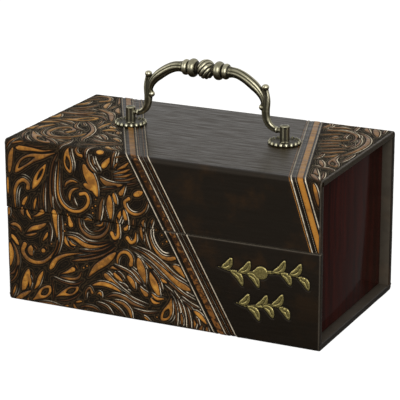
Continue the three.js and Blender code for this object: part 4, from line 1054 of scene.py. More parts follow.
def drawBand(fields, band, place, v):
    # One slanted band: its ground, the painted stripe, the ruled lines and the brown lines beside them
    within = np.clip(np.minimum(place - band["from"], band["to"] - place) / relief["bandEase"], 0, 1)
    within = np.where(v < band.get("foot", math.inf), within, 0)
    banded = within > 0
    ground = relief["bandGround"]
    stripe = np.minimum(place - band["stripe"][0], band["stripe"][1] - place)
    depthHere = ground - (ground - relief["stripeTop"]) * np.clip(stripe / relief["stripeEase"] + 0.5, 0, 1)
    line = fields["line"]
    ruled = (ground - relief["lineTop"], 0, band["lines"])
    faint = (relief["faintLine"], relief["faintAway"], band["faint"])
    for height, dimming, marks in (ruled, faint):
        for mark in marks:
            away = np.abs(place - mark)
            bar = height * np.exp(-(away / relief["lineWidth"]) ** 2)
            depthHere = np.minimum(depthHere, ground - bar)
            line = np.where(banded, np.minimum(line, away * relief["lineSpread"] + dimming), line)
    edge = np.where(banded, np.minimum(stripe, band["paint"]), fields["edge"])
    for mark in band["brown"]:
        edge = np.where(banded, np.maximum(edge, relief["brownHalf"] - np.abs(place - mark)), edge)
    fields.update({
        "line": line, "edge": edge, "facing": np.where(banded, 1.0, fields["facing"]),
        "tone": np.where(banded, np.where(v < -1, band["lidTone"], band["tone"]), fields["tone"]),
        "depth": fields["depth"] * (1 - within) + depthHere * within,
    })


def drawGold(fields, across, down):
    gilded = np.full(fields["edge"].shape, resting["gold"])
    for stroke in goldStrokes():
        drawStroke(gilded, across, down, stroke, relief["goldBorder"])
    (edgeFrom, edgeRun), (riseFrom, riseRun) = relief["goldEdge"], relief["goldRise"]
    near = np.clip((gilded + edgeFrom) / edgeRun, 0, 1)
    rise = np.clip((gilded + riseFrom) / riseRun, 0, 1)
    goldDepth = relief["goldGroove"] - (relief["goldGroove"] - relief["goldTop"]) * rise
    fields.update({"gold": gilded, "depth": fields["depth"] * (1 - near) + goldDepth * near})


def sheetFields(across, down):
    # Depth below the sheet's outside, and the distances that the finish reads, on a grid of the sheet
    edge, tone = strokeFields(across, down)
    u = across[None, :]
    v = down[:, None]
    room = ornamentMask(u, v)
    edge = np.minimum(edge, room)
    carved = np.clip(room / relief["maskEase"] + 0.5, 0, 1)

    crown = np.clip(edge / relief["crownWidth"], 0, 1)
    rise = relief["crown"] * (1 - (1 - crown) ** 2)
    # which side of a ridge faces up and to the right, towards the light; the painted shade rim is narrow on
    # that side
    around = softened(edge, down, relief["softening"])
    gradient = np.gradient(around, down, across)
    lit = gradient[0] * relief["litSide"][1] - gradient[1] * relief["litSide"][0]
    for place, height, _ in leatherLook["ridges"]:
        rise = np.maximum(rise, height * np.exp(-((around + place) / relief["ridgeWidth"]) ** 2))
    # the relief dies away at the ends and at the foot, so the corners stay straight
    low, high = relief["easeBase"]
    gap, run = relief["easeFold"]
    ease = np.clip(np.minimum(u, length - u) / relief["easeEnds"], 0, 1)
    ease = ease * np.clip((high - v) / (high - low), 0, 1)
    ease = ease * np.clip((np.abs(v + depth) - gap) / run, 0, 1)
    ornamentDepth = relief["eased"] + (relief["ground"] - rise - relief["eased"]) * ease
    glintField, glintStrength = glintFields(across, down, edge, room)
    fields = {
        "depth": relief["plain"] * (1 - carved) + ornamentDepth * carved,
        "edge": np.where(room > 0, np.maximum(edge, leastEdge), resting["edge"]),
        "line": np.full(edge.shape, resting["line"]), "around": np.where(room > 0, around, resting["around"]),
        "silverAndGlint": glintField, "glintStrength": glintStrength, "facing": np.clip(lit * relief["litGain"], 0, 1), "tone": tone,
    }
    for side, band in bands.items():
        drawBand(fields, band, stripPlace(side, u, v) + 0 * edge, v)
    drawGold(fields, across, down)
    return fields


# The leather: one sheet, cut into panels and folds

leather = {
    "panel": 4.0, "skin": 0.9, "corner": 4.0, "foldRadius": 3.0, "foldThickness": 1.6, "baseRadius": 2.6,
    "endRadius": 1.0, "innerRadius": 0.6, "seamRadius": 0.8, "turnIn": 14.4, "turnInStep": 0.1, "window": 2.0,
    "rimAngles": (90, 68, 45, 22), "rimTaper": 0.3, "face": 0.9, "insideSheet": 10, "arcSteps": 15,
    "baseSteps": 9, "baseRows": 5, "baseRun": 1.5, "baseThickness": 1.6,
    "baseSlope": (0.35, 0.3), "baseBackSlope": (1.25, 0.3),
    # steps between rows and between columns
    "grid": {
        "front": (0.36, 0.4), "flap": (0.34, 0.36), "lid": (0.48, 0.45), "back": (0.5, 0.5), "base": (6, 0.5),
        "fold": (0.34, 0.36), "rearFold": (0.4, 0.45),
    },
    # wear and a painted highlight on the rounded ends and rims, and a painted sheen on the margins that are
    # turned in
    "wearAndSheen": {
        "rim": 0.6, "end": 0.3, "endFrom": 0.2, "endTo": 0.7, "turnIn": 0.4, "turnInWidth": 9, "inner": 0.8,
    },
}
seamZ = limits("front_board")[1][2] + leather["skin"]
lowerFrontY = caseLow[1]
cornerZ = topZ - leather["corner"]


def flatRows(start, end, normal, down, step, rims=(0, 0), thickness=leather["panel"]):
    # Rows across a flat panel from one (y, z) to another; a rim is the radius of a rounded end
    start, end, normal = (np.array(place, float) for place in (start, end, normal))
    run = np.linalg.norm(end - start)
    way = (end - start) / run
    curve = [(1 - math.sin(angle), 1 - math.cos(angle)) for angle in np.radians(leather["rimAngles"])]
    count = max(2, round((run - sum(rims)) / step) + 1)
    spots = [(place, 0) for place in np.linspace(rims[0], run - rims[1], count)]
    if rims[0]:
        spots = [(rims[0] * back, sink) for back, sink in curve] + spots
    if rims[1]:
        spots += [(run - rims[1] * back, sink) for back, sink in curve[::-1]]
    rows = []
    for place, sink in spots:
        share = place / run
        radius = rims[0] if share < 0.5 else rims[1]
        open_ = leather["turnIn"] < place < run - leather["turnIn"]
        outer = start + way * place
        rows.append({
            "outer": outer - normal * radius * sink,
            "inner": outer - normal * (thickness - leather["innerRadius"] * sink),
            "normal": normal, "down": down[0] + (down[1] - down[0]) * share,
            "window": leather["window"] if open_ else 0.0, "wearAndSheen": min(1.0, 3 * sink),
        })
    return rows


def arcRows(centre, radius, angles, down, count, thickness):
    # Rows round a bend; angles are in degrees from +Y towards +Z
    rows = []
    for share in np.linspace(0, 1, count):
        angle = math.radians(angles[0] + (angles[1] - angles[0]) * share)
        normal = np.array([math.cos(angle), math.sin(angle)])
        outer = np.array(centre) + normal * radius
        rows.append({
            "outer": outer, "inner": outer - normal * thickness, "normal": normal,
            "down": down[0] + (down[1] - down[0]) * share, "window": 0.0,
        })
    return rows


def signedVolume(points, faces):
    quads = np.array([face for face in faces if len(face) == 4])
    a, b, c, d = (points[quads[:, place]] for place in range(4))
    return np.einsum("ij,ij->i", a, np.cross(b, c)).sum() + np.einsum("ij,ij->i", a, np.cross(c, d)).sum()


def leatherPiece(name, rows, columnStep):
    # A closed shell round the rows: its outside carries the relief, its ends are rounded, its inside is plain
    half = length / 2
    radius, inner = leather["endRadius"], leather["innerRadius"]
    across = np.linspace(radius, length - radius, round((length - 2 * radius) / columnStep) + 1)
    outer, innerPlace, normal, down, window = (
        np.array([row[key] for row in rows]) for key in ("outer", "inner", "normal", "down", "window")
    )
    order = np.argsort(down)
    back = np.argsort(order)
    fields = {key: values[back] for key, values in sheetFields(across, down[order]).items()}
    thickness = np.linalg.norm(outer - innerPlace, axis=1)
    rim = np.minimum(1, thickness / (radius + inner + leather["rimTaper"]))

    # the section, once round: place along X, depth, side, place on the sheet and column of the fields
    x, sink, u = list(across - half), list(fields["depth"].T), list(across)
    outside, fieldColumns = [True] * len(across), list(range(len(across)))

    def addPlace(place, lift, onOutside, sheetPlace, column=0):
        x.append(place)
        sink.append(lift)
        outside.append(onOutside)
        u.append(sheetPlace)
        fieldColumns.append(column)

    def bend(hand, angles, radiusHere, onOutside, edgeDepth, column=0):
        for angle in angles:
            lift = radiusHere * (1 - math.cos(angle)) * rim
            lift = lift + (edgeDepth * math.cos(angle) if onOutside else 0)
            place = hand * (half - radiusHere + radiusHere * math.sin(angle))
            addPlace(place, lift, onOutside, half + hand * (half + radiusHere * angle), column)

    quarter = np.radians(leather["rimAngles"][::-1])
    turnX = half - leather["turnIn"]
    openX = turnX - leather["turnInStep"]
    none = np.zeros(len(rows))
    bend(1, quarter, radius, True, fields["depth"][:, -1], len(across) - 1)
    bend(1, quarter[::-1], inner, False, none)
    for place, lift in (
        (half - inner, none), (turnX, none), (openX, window),
        (-openX, window), (-turnX, none), (inner - half, none),
    ):
        addPlace(place, lift, False, half + place)
    bend(-1, quarter, inner, False, none)
    bend(-1, quarter[::-1], radius, True, fields["depth"][:, 0])

    count = len(x)
    points = np.zeros((len(rows), count, 3))
    for place in range(count):
        lift = sink[place][:, None]
        points[:, place, 0] = x[place]
        points[:, place, 1:] = outer - normal * lift if outside[place] else innerPlace + normal * lift
    faces = []
    for row in range(len(rows) - 1):
        low, high = row * count, (row + 1) * count
        for place in range(count):
            following = (place + 1) % count
            faces.append((low + place, low + following, high + following, high + place))
    faces.append(tuple(range(count))[::-1])
    faces.append(tuple(range((len(rows) - 1) * count, len(rows) * count)))
    flat = points.reshape(-1, 3)
    if signedVolume(flat, faces) < 0:
        faces = [face[::-1] for face in faces]
    piece = newPiece(name, flat, faces, leatherFinish, smoothAngle=74)

    # the rounded rims and ends get wear and a painted highlight, the turned-in margins a painted sheen
    worn, columns = leather["wearAndSheen"], np.array(fieldColumns)
    x, u, outside = np.abs(x), np.array(u), np.array(outside)
    fromEnd = (half - x) / radius
    ends = outside & (fromEnd > worn["endFrom"]) & (fromEnd < worn["endTo"])
    turnedIn = ~outside & (x > half - worn["turnInWidth"]) & (x < half - inner * worn["inner"])
    rims = np.array([row.get("wearAndSheen", 0.0) for row in rows])
    plain = ornamentMask(u[None, :], down[:, None]) <= 0
    rimWearAndHighlight = worn["rim"] * rims[:, None] * outside[None, :] * plain
    endWearAndSheen = worn["end"] * ends + worn["turnIn"] * turnedIn
    writeAttribute(piece.data, "wearAndSheen", np.maximum(endWearAndSheen[None, :], rimWearAndHighlight))
    face = outside & (x < half - radius * leather["face"])
    for key, value in resting.items():
        writeAttribute(piece.data, key, np.where(face[None, :], fields[key][:, columns], value))
    # where each point lies on the sheet; the inside is set apart from it
    sheet = np.zeros((len(rows), count, 3))
    sheet[:, :, 0] = u[None, :] * mm
    sheet[:, :, 1] = down[:, None] * mm
    sheet[:, :, 2] = ~outside[None, :] * leather["insideSheet"] * mm
    attribute = piece.data.attributes.new("sheet", "FLOAT_VECTOR", "POINT")
    attribute.data.foreach_set("vector", sheet.astype(np.float32).ravel())
    return piece


def addPanels():
    corner, seam, panel, grid = leather["corner"], leather["seamRadius"], leather["panel"], leather["grid"]
    step, columnStep = grid["front"]
    down = (topZ - seamZ, topZ - panel)
    rows = flatRows((lowerFrontY, seamZ), (lowerFrontY, panel), (-1, 0), down, step, (seam, 0))
    attach(leatherPiece("front_leather", rows, columnStep), "case", "embossed_leather", "case_cover")
    print("front leather made")

    step, columnStep = grid["flap"]
    down = (corner, topZ - flapLow[2])
    rows = flatRows((frontY, cornerZ), (frontY, flapLow[2]), (-1, 0), down, step, (0, seam))
    attach(leatherPiece("flap_leather", rows, columnStep), "flap", "embossed_leather", "flap_cover")

    step, columnStep = grid["lid"]
    rows = flatRows((backY - corner, topZ), (frontY + corner, topZ), (0, 1), (corner - depth, -corner), step)
    attach(leatherPiece("lid_leather", rows, columnStep), "lid", "embossed_leather", "lid_cover")
    print("flap and lid leather made")

    step, columnStep = grid["back"]
    down = (panel - depth - topZ, cornerZ - depth - topZ)
    rows = flatRows((backY, panel), (backY, cornerZ), (1, 0), down, step)
    attach(leatherPiece("back_leather", rows, columnStep), "case", "embossed_leather")


def addBaseLeather():
    # From the front's foot round its lower edge, under the base and up the back's foot
    panel, radius, run = leather["panel"], leather["baseRadius"], leather["baseRun"]
    thickness, steps = leather["baseThickness"], leather["baseSteps"]
    step, columnStep = leather["grid"]["base"]

    def upright(y, z, innerY, normalY, down):
        return {
            "outer": np.array([y, z]), "inner": np.array([innerY, panel]), "normal": np.array([normalY, 0.0]),
            "down": down, "window": 0.0,
        }

    def bent(centreY, angles, down, innerStart):
        bend = arcRows((centreY, radius), radius, angles, down, steps, thickness)
        for place, row in enumerate(bend):
            row["inner"] = np.array([innerStart + (radius - thickness) * place / (steps - 1), panel])
        return bend

    heights = np.linspace(panel, radius, leather["baseRows"])[:-1]
    start, slope = leather["baseSlope"]
    rows = [upright(lowerFrontY, z, lowerFrontY + start + slope * place, -1.0, topZ - z)
            for place, z in enumerate(heights)]
    rows += bent(lowerFrontY + radius, (180, 270), (topZ - radius, topZ + run), lowerFrontY + thickness)
    ends = (lowerFrontY + radius, 0), (backY - radius, 0)
    rows += flatRows(*ends, (0, -1), (topZ + run, topZ + depth), step)[1:-1]
    down = (-depth - topZ - run, radius - depth - topZ)
    rows += bent(backY - radius, (270, 360), down, backY - radius)
    start, slope = leather["baseBackSlope"]
    rows += [upright(backY, z, backY - start + slope * place, 1.0, z - depth - topZ)
             for place, z in enumerate(heights[::-1])]
    attach(leatherPiece("base_leather", rows, columnStep), "case", "embossed_leather")
    print("back and base leather made")


def addFolds():
    corner, fold, thickness = leather["corner"], leather["foldRadius"], leather["foldThickness"]
    steps, grid = leather["arcSteps"], leather["grid"]
    step, columnStep = grid["fold"]
    ends = (frontY + corner, topZ), (frontY + fold, topZ)
    rows = flatRows(*ends, (0, 1), (-corner, -fold), step, thickness=thickness)
    rows += arcRows((frontY + fold, topZ - fold), fold, (90, 180), (-fold, fold), steps, thickness)[1:-1]
    ends = (frontY, topZ - fold), (frontY, cornerZ)
    rows += flatRows(*ends, (-1, 0), (fold, corner), step, thickness=thickness)
    piece = leatherPiece("flap_fold_leather", rows, columnStep)
    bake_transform(piece)
    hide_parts("flap_fold")

    step, columnStep = grid["rearFold"]
    ends = (backY, cornerZ), (backY, topZ - fold)
    rows = flatRows(*ends, (1, 0), (-depth - corner, -depth - fold), step, thickness=thickness)
    down = (-depth - fold, fold - depth)
    rows += arcRows((backY - fold, topZ - fold), fold, (0, 90), down, steps, thickness)[1:-1]
    ends = (backY - fold, topZ), (backY - corner, topZ)
    rows += flatRows(*ends, (0, 1), (fold - depth, corner - depth), step, thickness=thickness)
    piece = leatherPiece("lid_fold_leather", rows, columnStep)
    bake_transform(piece)
    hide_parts("lid_fold")
    print("folds made")


addPanels()
addBaseLeather()
addFolds()


# Boards, tray and linings: blocks with eased edges

# Which node each block replaces, its finish, slot, body and the size of its eased edges
blocks = {
    "left_end_panel": ("tray_left_end", mahoganyFinish, "mahogany", "case", 0.5),
    "right_end_panel": ("tray_right_end", mahoganyFinish, "mahogany", "case", 0.5),
    "tray_base_sheet": ("tray_floor", plywoodFinish, "plywood", "case", 0.15),
    "back_wall_sheet": ("tray_back_wall", plywoodFinish, "plywood", "case", 0.3),
    **{f"{side}_velvet": (f"lining_{side}", velvetFinish, "velvet", "case", 0.3)
       for side in ("left", "right", "front", "back")},
    "flap_velvet": ("flap_liner", velvetFinish, "velvet", "flap", 0.3),
}
keptNodes = {
    "tray_front_wall": plywoodFinish, "lid_liner": velvetFinish,
    **{f"{place}_board": greyboardFinish for place in ("base", "front", "back", "lid", "flap")},
}


def addBlock(name, node, finish, slot, body, ease):
    low, high = limits(node)
    shape = bmesh.new()
    bmesh.ops.create_cube(shape, size=1)
    for vertex in shape.verts:
        vertex.co = Vector([(low[axis] + high[axis]) / 2 + vertex.co[axis] * (high[axis] - low[axis])
                            for axis in range(3)]) * mm
    bmesh.ops.bevel(shape, geom=shape.edges[:], offset=ease * mm, segments=3, profile=0.5, affect="EDGES")
    mesh = bpy.data.meshes.new(name)
    shape.to_mesh(mesh)
    shape.free()
    mesh.materials.append(finish)
    mesh.shade_smooth()
    mesh.set_sharp_from_angle(angle=math.radians(40))
    piece = bpy.data.objects.new(name, mesh)
    scene.collection.objects.link(piece)
    return attach(piece, body, slot, node)


for name, block in blocks.items():
    addBlock(name, *block)
for node, finish in keptNodes.items():
    materials = frame["nodes"][node].data.materials
    materials.clear()
    materials.append(finish)
print("tray and linings made")


cushion = {
    "columns": 84, "rows": 48, "edge": 4.6, "tuck": 1.4, "clearance": 0.3, "fill": 0.6, "headroom": 0.2,
    "fullness": 0.45, "seed": 3, "puckers": 64, "pitch": 1.15, "pucker": 0.28, "seam": (0.9, 0.08),
    "merge": 0.002,
}


def addCushion():
    low, high = limits("floor_cushion")
    middle = (low + high) / 2
    halfX, halfY = (high - low)[:2] / 2 - cushion["clearance"]
    rise = high[2] - low[2]
    columns, rows = cushion["columns"], cushion["rows"]
    puckers = np.random.default_rng(cushion["seed"]).uniform(0.6, 1.0, cushion["puckers"])
    u = np.linspace(-1, 1, columns + 1)[None, :] + np.zeros((rows + 1, 1))
    v = np.linspace(-1, 1, rows + 1)[:, None] + np.zeros((1, columns + 1))

    def bulge(share):
        return 1 - share ** 4

    def layer(isTop):
        # sides drawn in between the corners, small puckers running in from the edge seam
        edge, tuck = cushion["edge"], cushion["tuck"]
        x = u * (halfX - tuck * bulge(v) * u * u)
        y = v * (halfY - tuck * bulge(u) * v * v)
        dome = (np.maximum(bulge(u), 0) * np.maximum(bulge(v), 0)) ** cushion["fullness"]
        nearEdge = np.maximum(np.abs(u), np.abs(v))
        along = np.where(np.abs(u) > np.abs(v), v * halfY, u * halfX)
        strength = np.interp(along, np.linspace(-halfX, halfX, len(puckers)), puckers)
        ripple = np.sin(along * cushion["pitch"]) * strength
        seam, spread = cushion["seam"]
        pucker = cushion["pucker"] * ripple * np.exp(-((nearEdge - seam) / spread) ** 2)
        if isTop:
            z = low[2] + edge + (rise - edge - cushion["headroom"]) * dome + pucker
        else:
            z = low[2] + edge * (1 - dome ** 0.5)
        return np.stack([middle[0] + x, middle[1] + y, z], -1).reshape(-1, 3)

    wide = columns + 1
    faces = []
    size = wide * (rows + 1)
    for row in range(rows):
        for column in range(columns):
            a = row * wide + column
            faces.append((a, a + 1, a + wide + 1, a + wide))
            faces.append((size + a, size + a + wide, size + a + wide + 1, size + a + 1))
    piece = newPiece("floor_pad", np.vstack([layer(True), layer(False)]), faces, velvetFinish, 60)
    shape = bmesh.new()
    shape.from_mesh(piece.data)
    bmesh.ops.remove_doubles(shape, verts=shape.verts, dist=cushion["merge"] * mm)
    bmesh.ops.recalc_face_normals(shape, faces=shape.faces)
    shape.to_mesh(piece.data)
    shape.free()
    piece.data.shade_smooth()
    return attach(piece, "case", "velvet", "floor_cushion")


addCushion()
print("cushion made")


# Turned and swept metal

def turnedShape(profile, sides, centre, axis="z"):
    # (radius, place along the axis) pairs; the profile starts and ends on the axis
    points, faces = [], []
    rings = []
    ends = {}
    for index, (radius, place) in enumerate(profile):
        if radius < 1e-6:
            ends[index] = len(points)
            points.append((0, 0, place))
            rings.append(None)
            continue
        rings.append(len(points))
        for side in range(sides):
            angle = 2 * math.pi * side / sides
            points.append((radius * math.cos(angle), radius * math.sin(angle), place))
    for index in range(len(profile) - 1):
        near, far = rings[index], rings[index + 1]
        for side in range(sides):
            following = (side + 1) % sides
            if near is None:
                faces.append((ends[index], far + following, far + side))
            elif far is None:
                faces.append((near + side, near + following, ends[index + 1]))
            else:
                faces.append((near + side, near + following, far + following, far + side))
    points = np.array(points, float)
    if axis == "x":
        points = points[:, [2, 0, 1]]
    return points + np.array(centre), faces


def sweptShape(path, sides, radiusAt):
    # A section that follows a path in the XZ plane
    path = np.asarray(path, float)
    tangent = np.gradient(path, axis=0)
    tangent /= np.linalg.norm(tangent, axis=1)[:, None]
    acrossWay = np.array([0.0, 1.0, 0.0])
    outward = np.cross(acrossWay, tangent)
    angles = np.linspace(0, 2 * math.pi, sides, endpoint=False)
    points, faces = [], []
    for step, centre in enumerate(path):
        radius = radiusAt(step / (len(path) - 1), angles)
        out = np.outer(radius * np.cos(angles), outward[step])
        points.append(centre + out + np.outer(radius * np.sin(angles), acrossWay))
    points = np.vstack([*points, path[:1], path[-1:]])
    hub = len(points) - 2
    last = (len(path) - 1) * sides
    for side in range(sides):
        following = (side + 1) % sides
        for step in range(len(path) - 1):
            near = step * sides
            faces.append((near + side, near + following, near + sides + following, near + sides + side))
        faces.append((hub, following, side))
        faces.append((hub + 1, last + side, last + following))
    return points, faces


def joined(shapes):
    points, faces, start = [], [], 0
    for shapePoints, shapeFaces in shapes:
        points.append(shapePoints)
        faces += [tuple(start + index for index in face) for face in shapeFaces]
        start += len(shapePoints)
    return np.vstack(points), faces


def fused(piece, voxel, smoothing):
    # One closed casting from overlapping forms, softened as a cast surface is
    remesh = piece.modifiers.new("fuse", "REMESH")
    remesh.mode = "VOXEL"
    remesh.voxel_size = voxel * mm
    remesh.use_smooth_shade = True
    relax = piece.modifiers.new("soften", "SMOOTH")
    relax.factor = 0.5
    relax.iterations = smoothing
    old = piece.data
    mesh = applied(piece)
    mesh.name = piece.name
    bpy.data.meshes.remove(old)
    if not mesh.materials:
        mesh.materials.append(castingFinish)


def markHollows(mesh, reach, rounds):
    # Positive in hollows, negative on ridges, from how far each point lies under its neighbours
    count = len(mesh.vertices)
    place, normal = np.zeros(count * 3, np.float32), np.zeros(count * 3, np.float32)
    mesh.vertices.foreach_get("co", place)
    mesh.vertex_normals.foreach_get("vector", normal)
    place, normal = place.reshape(-1, 3), normal.reshape(-1, 3)
    edges = np.zeros(len(mesh.edges) * 2, np.int32)
    mesh.edges.foreach_get("vertices", edges)
    a, b = edges.reshape(-1, 2).T
    valence = np.bincount(a, minlength=count) + np.bincount(b, minlength=count)
    smooth = place.astype(float).copy()
    for _ in range(rounds):
        total = np.zeros_like(smooth)
        np.add.at(total, a, smooth[b])
        np.add.at(total, b, smooth[a])
        smooth = total / np.maximum(valence, 1)[:, None]
    lift = np.einsum("ij,ij->i", smooth - place, normal) / (reach * mm)
    writeAttribute(mesh, "hollow", np.clip(lift, -1, 1))


handle = {
    "pitch": 96.0, "rise": 29.9, "gripHalf": 14.4, "neck": 3.0, "necks": (5.2, 10.55), "shoulder": 0.3,
    "ringSteps": 14, "roundness": 0.9,
    "swirl": {
        "half": 4.6, "radius": 5.8, "lobes": 8, "turn": 1.3, "depth": 0.85, "vein": 0.35, "veinWidth": 0.2,
        "swell": 0.78, "fullness": 0.8, "steps": 41, "sides": 96,
    },
    "bead": {"place": 8.0, "half": 2.4, "radius": 5.35},
    "collar": {"place": 12.4, "half": 1.7, "radius": 4.5},
    "arch": {
        "radius": 3.0, "end": 1.5, "flutes": 8, "depth": 0.34, "fullness": 0.7, "taperFrom": 0.52,
        "taperDepth": 0.6, "cap": 0.35, "capPlace": 0.03, "capWidth": 0.035, "overlap": 1,
    },
    "stem": {
        "radii": ((0, 1.4), (0.12, 1.65), (0.3, 2.15), (0.5, 2.4), (0.7, 2.2), (0.88, 1.8), (1, 1.75)),
        "groove": 0.95, "grooveStart": 0.15, "grooveFade": 0.35, "sides": 48,
    },
    "knob": 2.1, "knobDepth": 0.82, "ball": 1.9, "ballRings": 16,
    "pin": {"radius": 1.5, "chamfer": 0.3, "collarShare": (0.9, 0), "collar": (0.7, 2.0, 2.0), "rings": 10},
    "voxel": 0.24, "smoothing": 2, "pathStep": 0.35, "hollowReach": 0.11, "hollowRounds": 9,
    "sides": 64, "smallSides": 32,
}
# Places along one side, as shares of half the post pitch and of the grip's rise
archShares = [
    (0.385, 0.99), (0.469, 0.943), (0.594, 0.816), (0.672, 0.702), (0.718, 0.585), (0.733, 0.485),
    (0.716, 0.4),
]
stemShares = [
    (0.755, 0.79), (0.764, 0.7), (0.772, 0.6), (0.769, 0.475), (0.76, 0.348), (0.766, 0.225), (0.795, 0.105),
    (0.85, 0.03), (0.908, 0),
]


def postPlace(side):
    low, high = limits(f"{side}_post")
    return (low[0] + high[0]) / 2, (low[1] + high[1]) / 2


leftPost, rightPost = postPlace("left"), postPlace("right")
handleX = (leftPost[0] + rightPost[0]) / 2
handleY = leftPost[1]
pivotZ = next(joint["pos_m"][2] / mm for joint in frame["joints"] if joint["name"] == "bail_pivot")
gripZ = pivotZ + handle["rise"]


def gripShapes():
    neck, end, swirl = handle["neck"], handle["gripHalf"], handle["swirl"]

    def rounded(ring):
        steps = handle["ringSteps"]
        for step in range(steps + 1):
            share = 2 * step / steps - 1
            height = math.sqrt(max(0, 1 - share * share)) ** handle["roundness"]
            yield (neck + (ring["radius"] - neck) * height, ring["place"] + share * ring["half"])

    inner, outer = handle["necks"]
    half = [(neck, inner), *rounded(handle["bead"]), (neck, outer), *rounded(handle["collar"])]
    half += [(neck + handle["shoulder"], end), (0, end)]
    mirrored = [(radius, -place) for radius, place in half[::-1]]
    grip = turnedShape(mirrored + half, handle["sides"], (handleX, handleY, gripZ), "x")
    shares = np.linspace(-1, 1, swirl["steps"])
    path = [(handleX + share * swirl["half"], handleY, gripZ) for share in shares]

    def swirlRadius(share, angles):
        along = 2 * share - 1
        swell = math.sqrt(1 - swirl["swell"] * along * along)
        phase = swirl["lobes"] / 2 * (angles + swirl["turn"] * along)
        lobe = np.abs(np.cos(phase))
        vein = np.exp(-(np.sin(phase) / swirl["veinWidth"]) ** 2)
        carving = swirl["depth"] * (1 - lobe ** swirl["fullness"]) + swirl["vein"] * vein
        return swirl["radius"] * swell - carving * (0.5 + 0.5 * swell)

    return [grip, sweptShape(path, swirl["sides"], swirlRadius)]


def ovalShape(centre, radii, rings, sides):
    # A ball stretched on its own axes
    turns = [math.pi * step / rings for step in range(rings + 1)]
    profile = [(math.sin(turn), -math.cos(turn)) for turn in turns]
    profile[0], profile[-1] = (0, -1), (0, 1)
    points, faces = turnedShape(profile, sides, (0, 0, 0), "x")
    return points * np.array(radii) + np.array(centre), faces


def bailSide(hand):
    def place(share):
        return (handleX + hand * share[0] * handle["pitch"] / 2, handleY, pivotZ + share[1] * handle["rise"])

    arch, stem, pin, sides = handle["arch"], handle["stem"], handle["pin"], handle["smallSides"]
    start = (handleX + hand * (handle["gripHalf"] - arch["overlap"]), handleY, gripZ)
    archPath = throughPoints([start, *[place(share) for share in archShares]], handle["pathStep"])

    def archRadius(share, angles):
        taper = max(0, min(1, (share - arch["taperFrom"]) / (1 - arch["taperFrom"])))
        taper = taper * taper * (3 - 2 * taper)
        radius = arch["radius"] + (arch["end"] - arch["radius"]) * taper
        flute = np.abs(np.cos(arch["flutes"] / 2 * angles)) ** arch["fullness"]
        cap = arch["cap"] * math.exp(-((share - arch["capPlace"]) / arch["capWidth"]) ** 2)
        return radius + cap - arch["depth"] * (1 - taper * arch["taperDepth"]) * (1 - flute)

    stemPath = throughPoints([place(share) for share in stemShares], handle["pathStep"])

    def stemRadius(share, angles):
        radius = np.interp(share, *zip(*stem["radii"]))
        groove = stem["groove"] * min(1, share / stem["grooveStart"]) * (1 - stem["grooveFade"] * share)
        return radius - groove * np.abs(np.sin(angles)) ** 4

    knob, ball, rings = handle["knob"], handle["ball"], handle["ballRings"]
    low, high = limits("bail")
    pinEnd = high[0] if hand > 0 else low[0]
    stemEnd = place(stemShares[-1])[0]
    reach, radius, chamfer = abs(pinEnd - stemEnd), pin["radius"], pin["chamfer"]
    profile = [(0, 0), (radius, 0), (radius, reach - chamfer), (radius - chamfer, reach), (0, reach)]
    if hand < 0:
        profile = [(radius, -distance) for radius, distance in profile][::-1]
    return [
        sweptShape(archPath, handle["sides"], archRadius),
        sweptShape(stemPath, stem["sides"], stemRadius),
        ovalShape(place(stemShares[0]), (knob, knob, knob * handle["knobDepth"]), rings, sides),
        ovalShape(place(archShares[-1]), (ball, ball, ball), rings, sides),
        turnedShape(profile, sides, (stemEnd, handleY, pivotZ), "x"),
        # a small collar where the foot meets its pin
        ovalShape(place(pin["collarShare"]), pin["collar"], pin["rings"], sides),
    ]


def addBail():
    points, faces = joined(gripShapes() + bailSide(-1) + bailSide(1))
    piece = newPiece("cast_bail", points, faces, castingFinish)
    fused(piece, handle["voxel"], handle["smoothing"])
    markHollows(piece.data, handle["hollowReach"], handle["hollowRounds"])
    attach(piece, "bail", "antique_nickel", "bail")
    print("bail made:", len(piece.data.polygons), "faces")


# Hollow is positive where the patina stays and negative where the casting is rubbed bright
rosette = {
    "petals": 18, "ring": 8.2, "long": 1.2, "wide": 1.25, "high": 1.9, "flat": -0.15,
    "segments": 14, "rings": 8, "disc": 8.1, "under": 0.3, "dish": 0.75, "rim": 0.9, "sides": 96,
    "beadInset": 0.15, "beadFoot": 0.4, "beadHollow": -0.85, "betweenBeads": 1.25, "insideBeads": 0.6,
    "plateHollow": 0.2,
}
post = {
    "radius": 2.75, "ribs": 6, "flute": 0.3, "fluteEase": 0.4, "fluteReach": 0.05, "shoulder": 0.9,
    "under": 0.05, "rings": 11,
    "ribHollow": -0.8, "valleyHollow": 1.6, "topHollow": 0.1, "roundHollow": -0.5, "topDepth": 0.2,
}
screw = {
    "shank": 2.0, "head": 1.9, "dome": 1.0, "domeAngles": (20, 40, 60, 78, 90), "chamfer": 0.3,
    "cross": (2.1, 0.42, 0.9), "hole": 2.2, "washerEdge": 0.12, "sides": 48,
}


def fluted(points, centre, low, high):
    # Presses shallow flutes between six ribs into the upright between two heights, one rib to the front
    way = points[:, :2] - centre
    spread = np.hypot(*way.T)
    angle = np.arctan2(way[:, 1], way[:, 0]) + math.pi / 2
    valley = 0.5 - 0.5 * np.cos(post["ribs"] * angle)
    height = points[:, 2]
    shaft = np.clip(np.minimum(height - low, high - height) / post["fluteEase"], 0, 1)
    shaft = shaft * (spread > 1) * (spread < post["radius"] + post["fluteReach"])
    points[:, :2] -= way / np.maximum(spread, 1)[:, None] * (post["flute"] * valley * shaft)[:, None]
    return valley, shaft


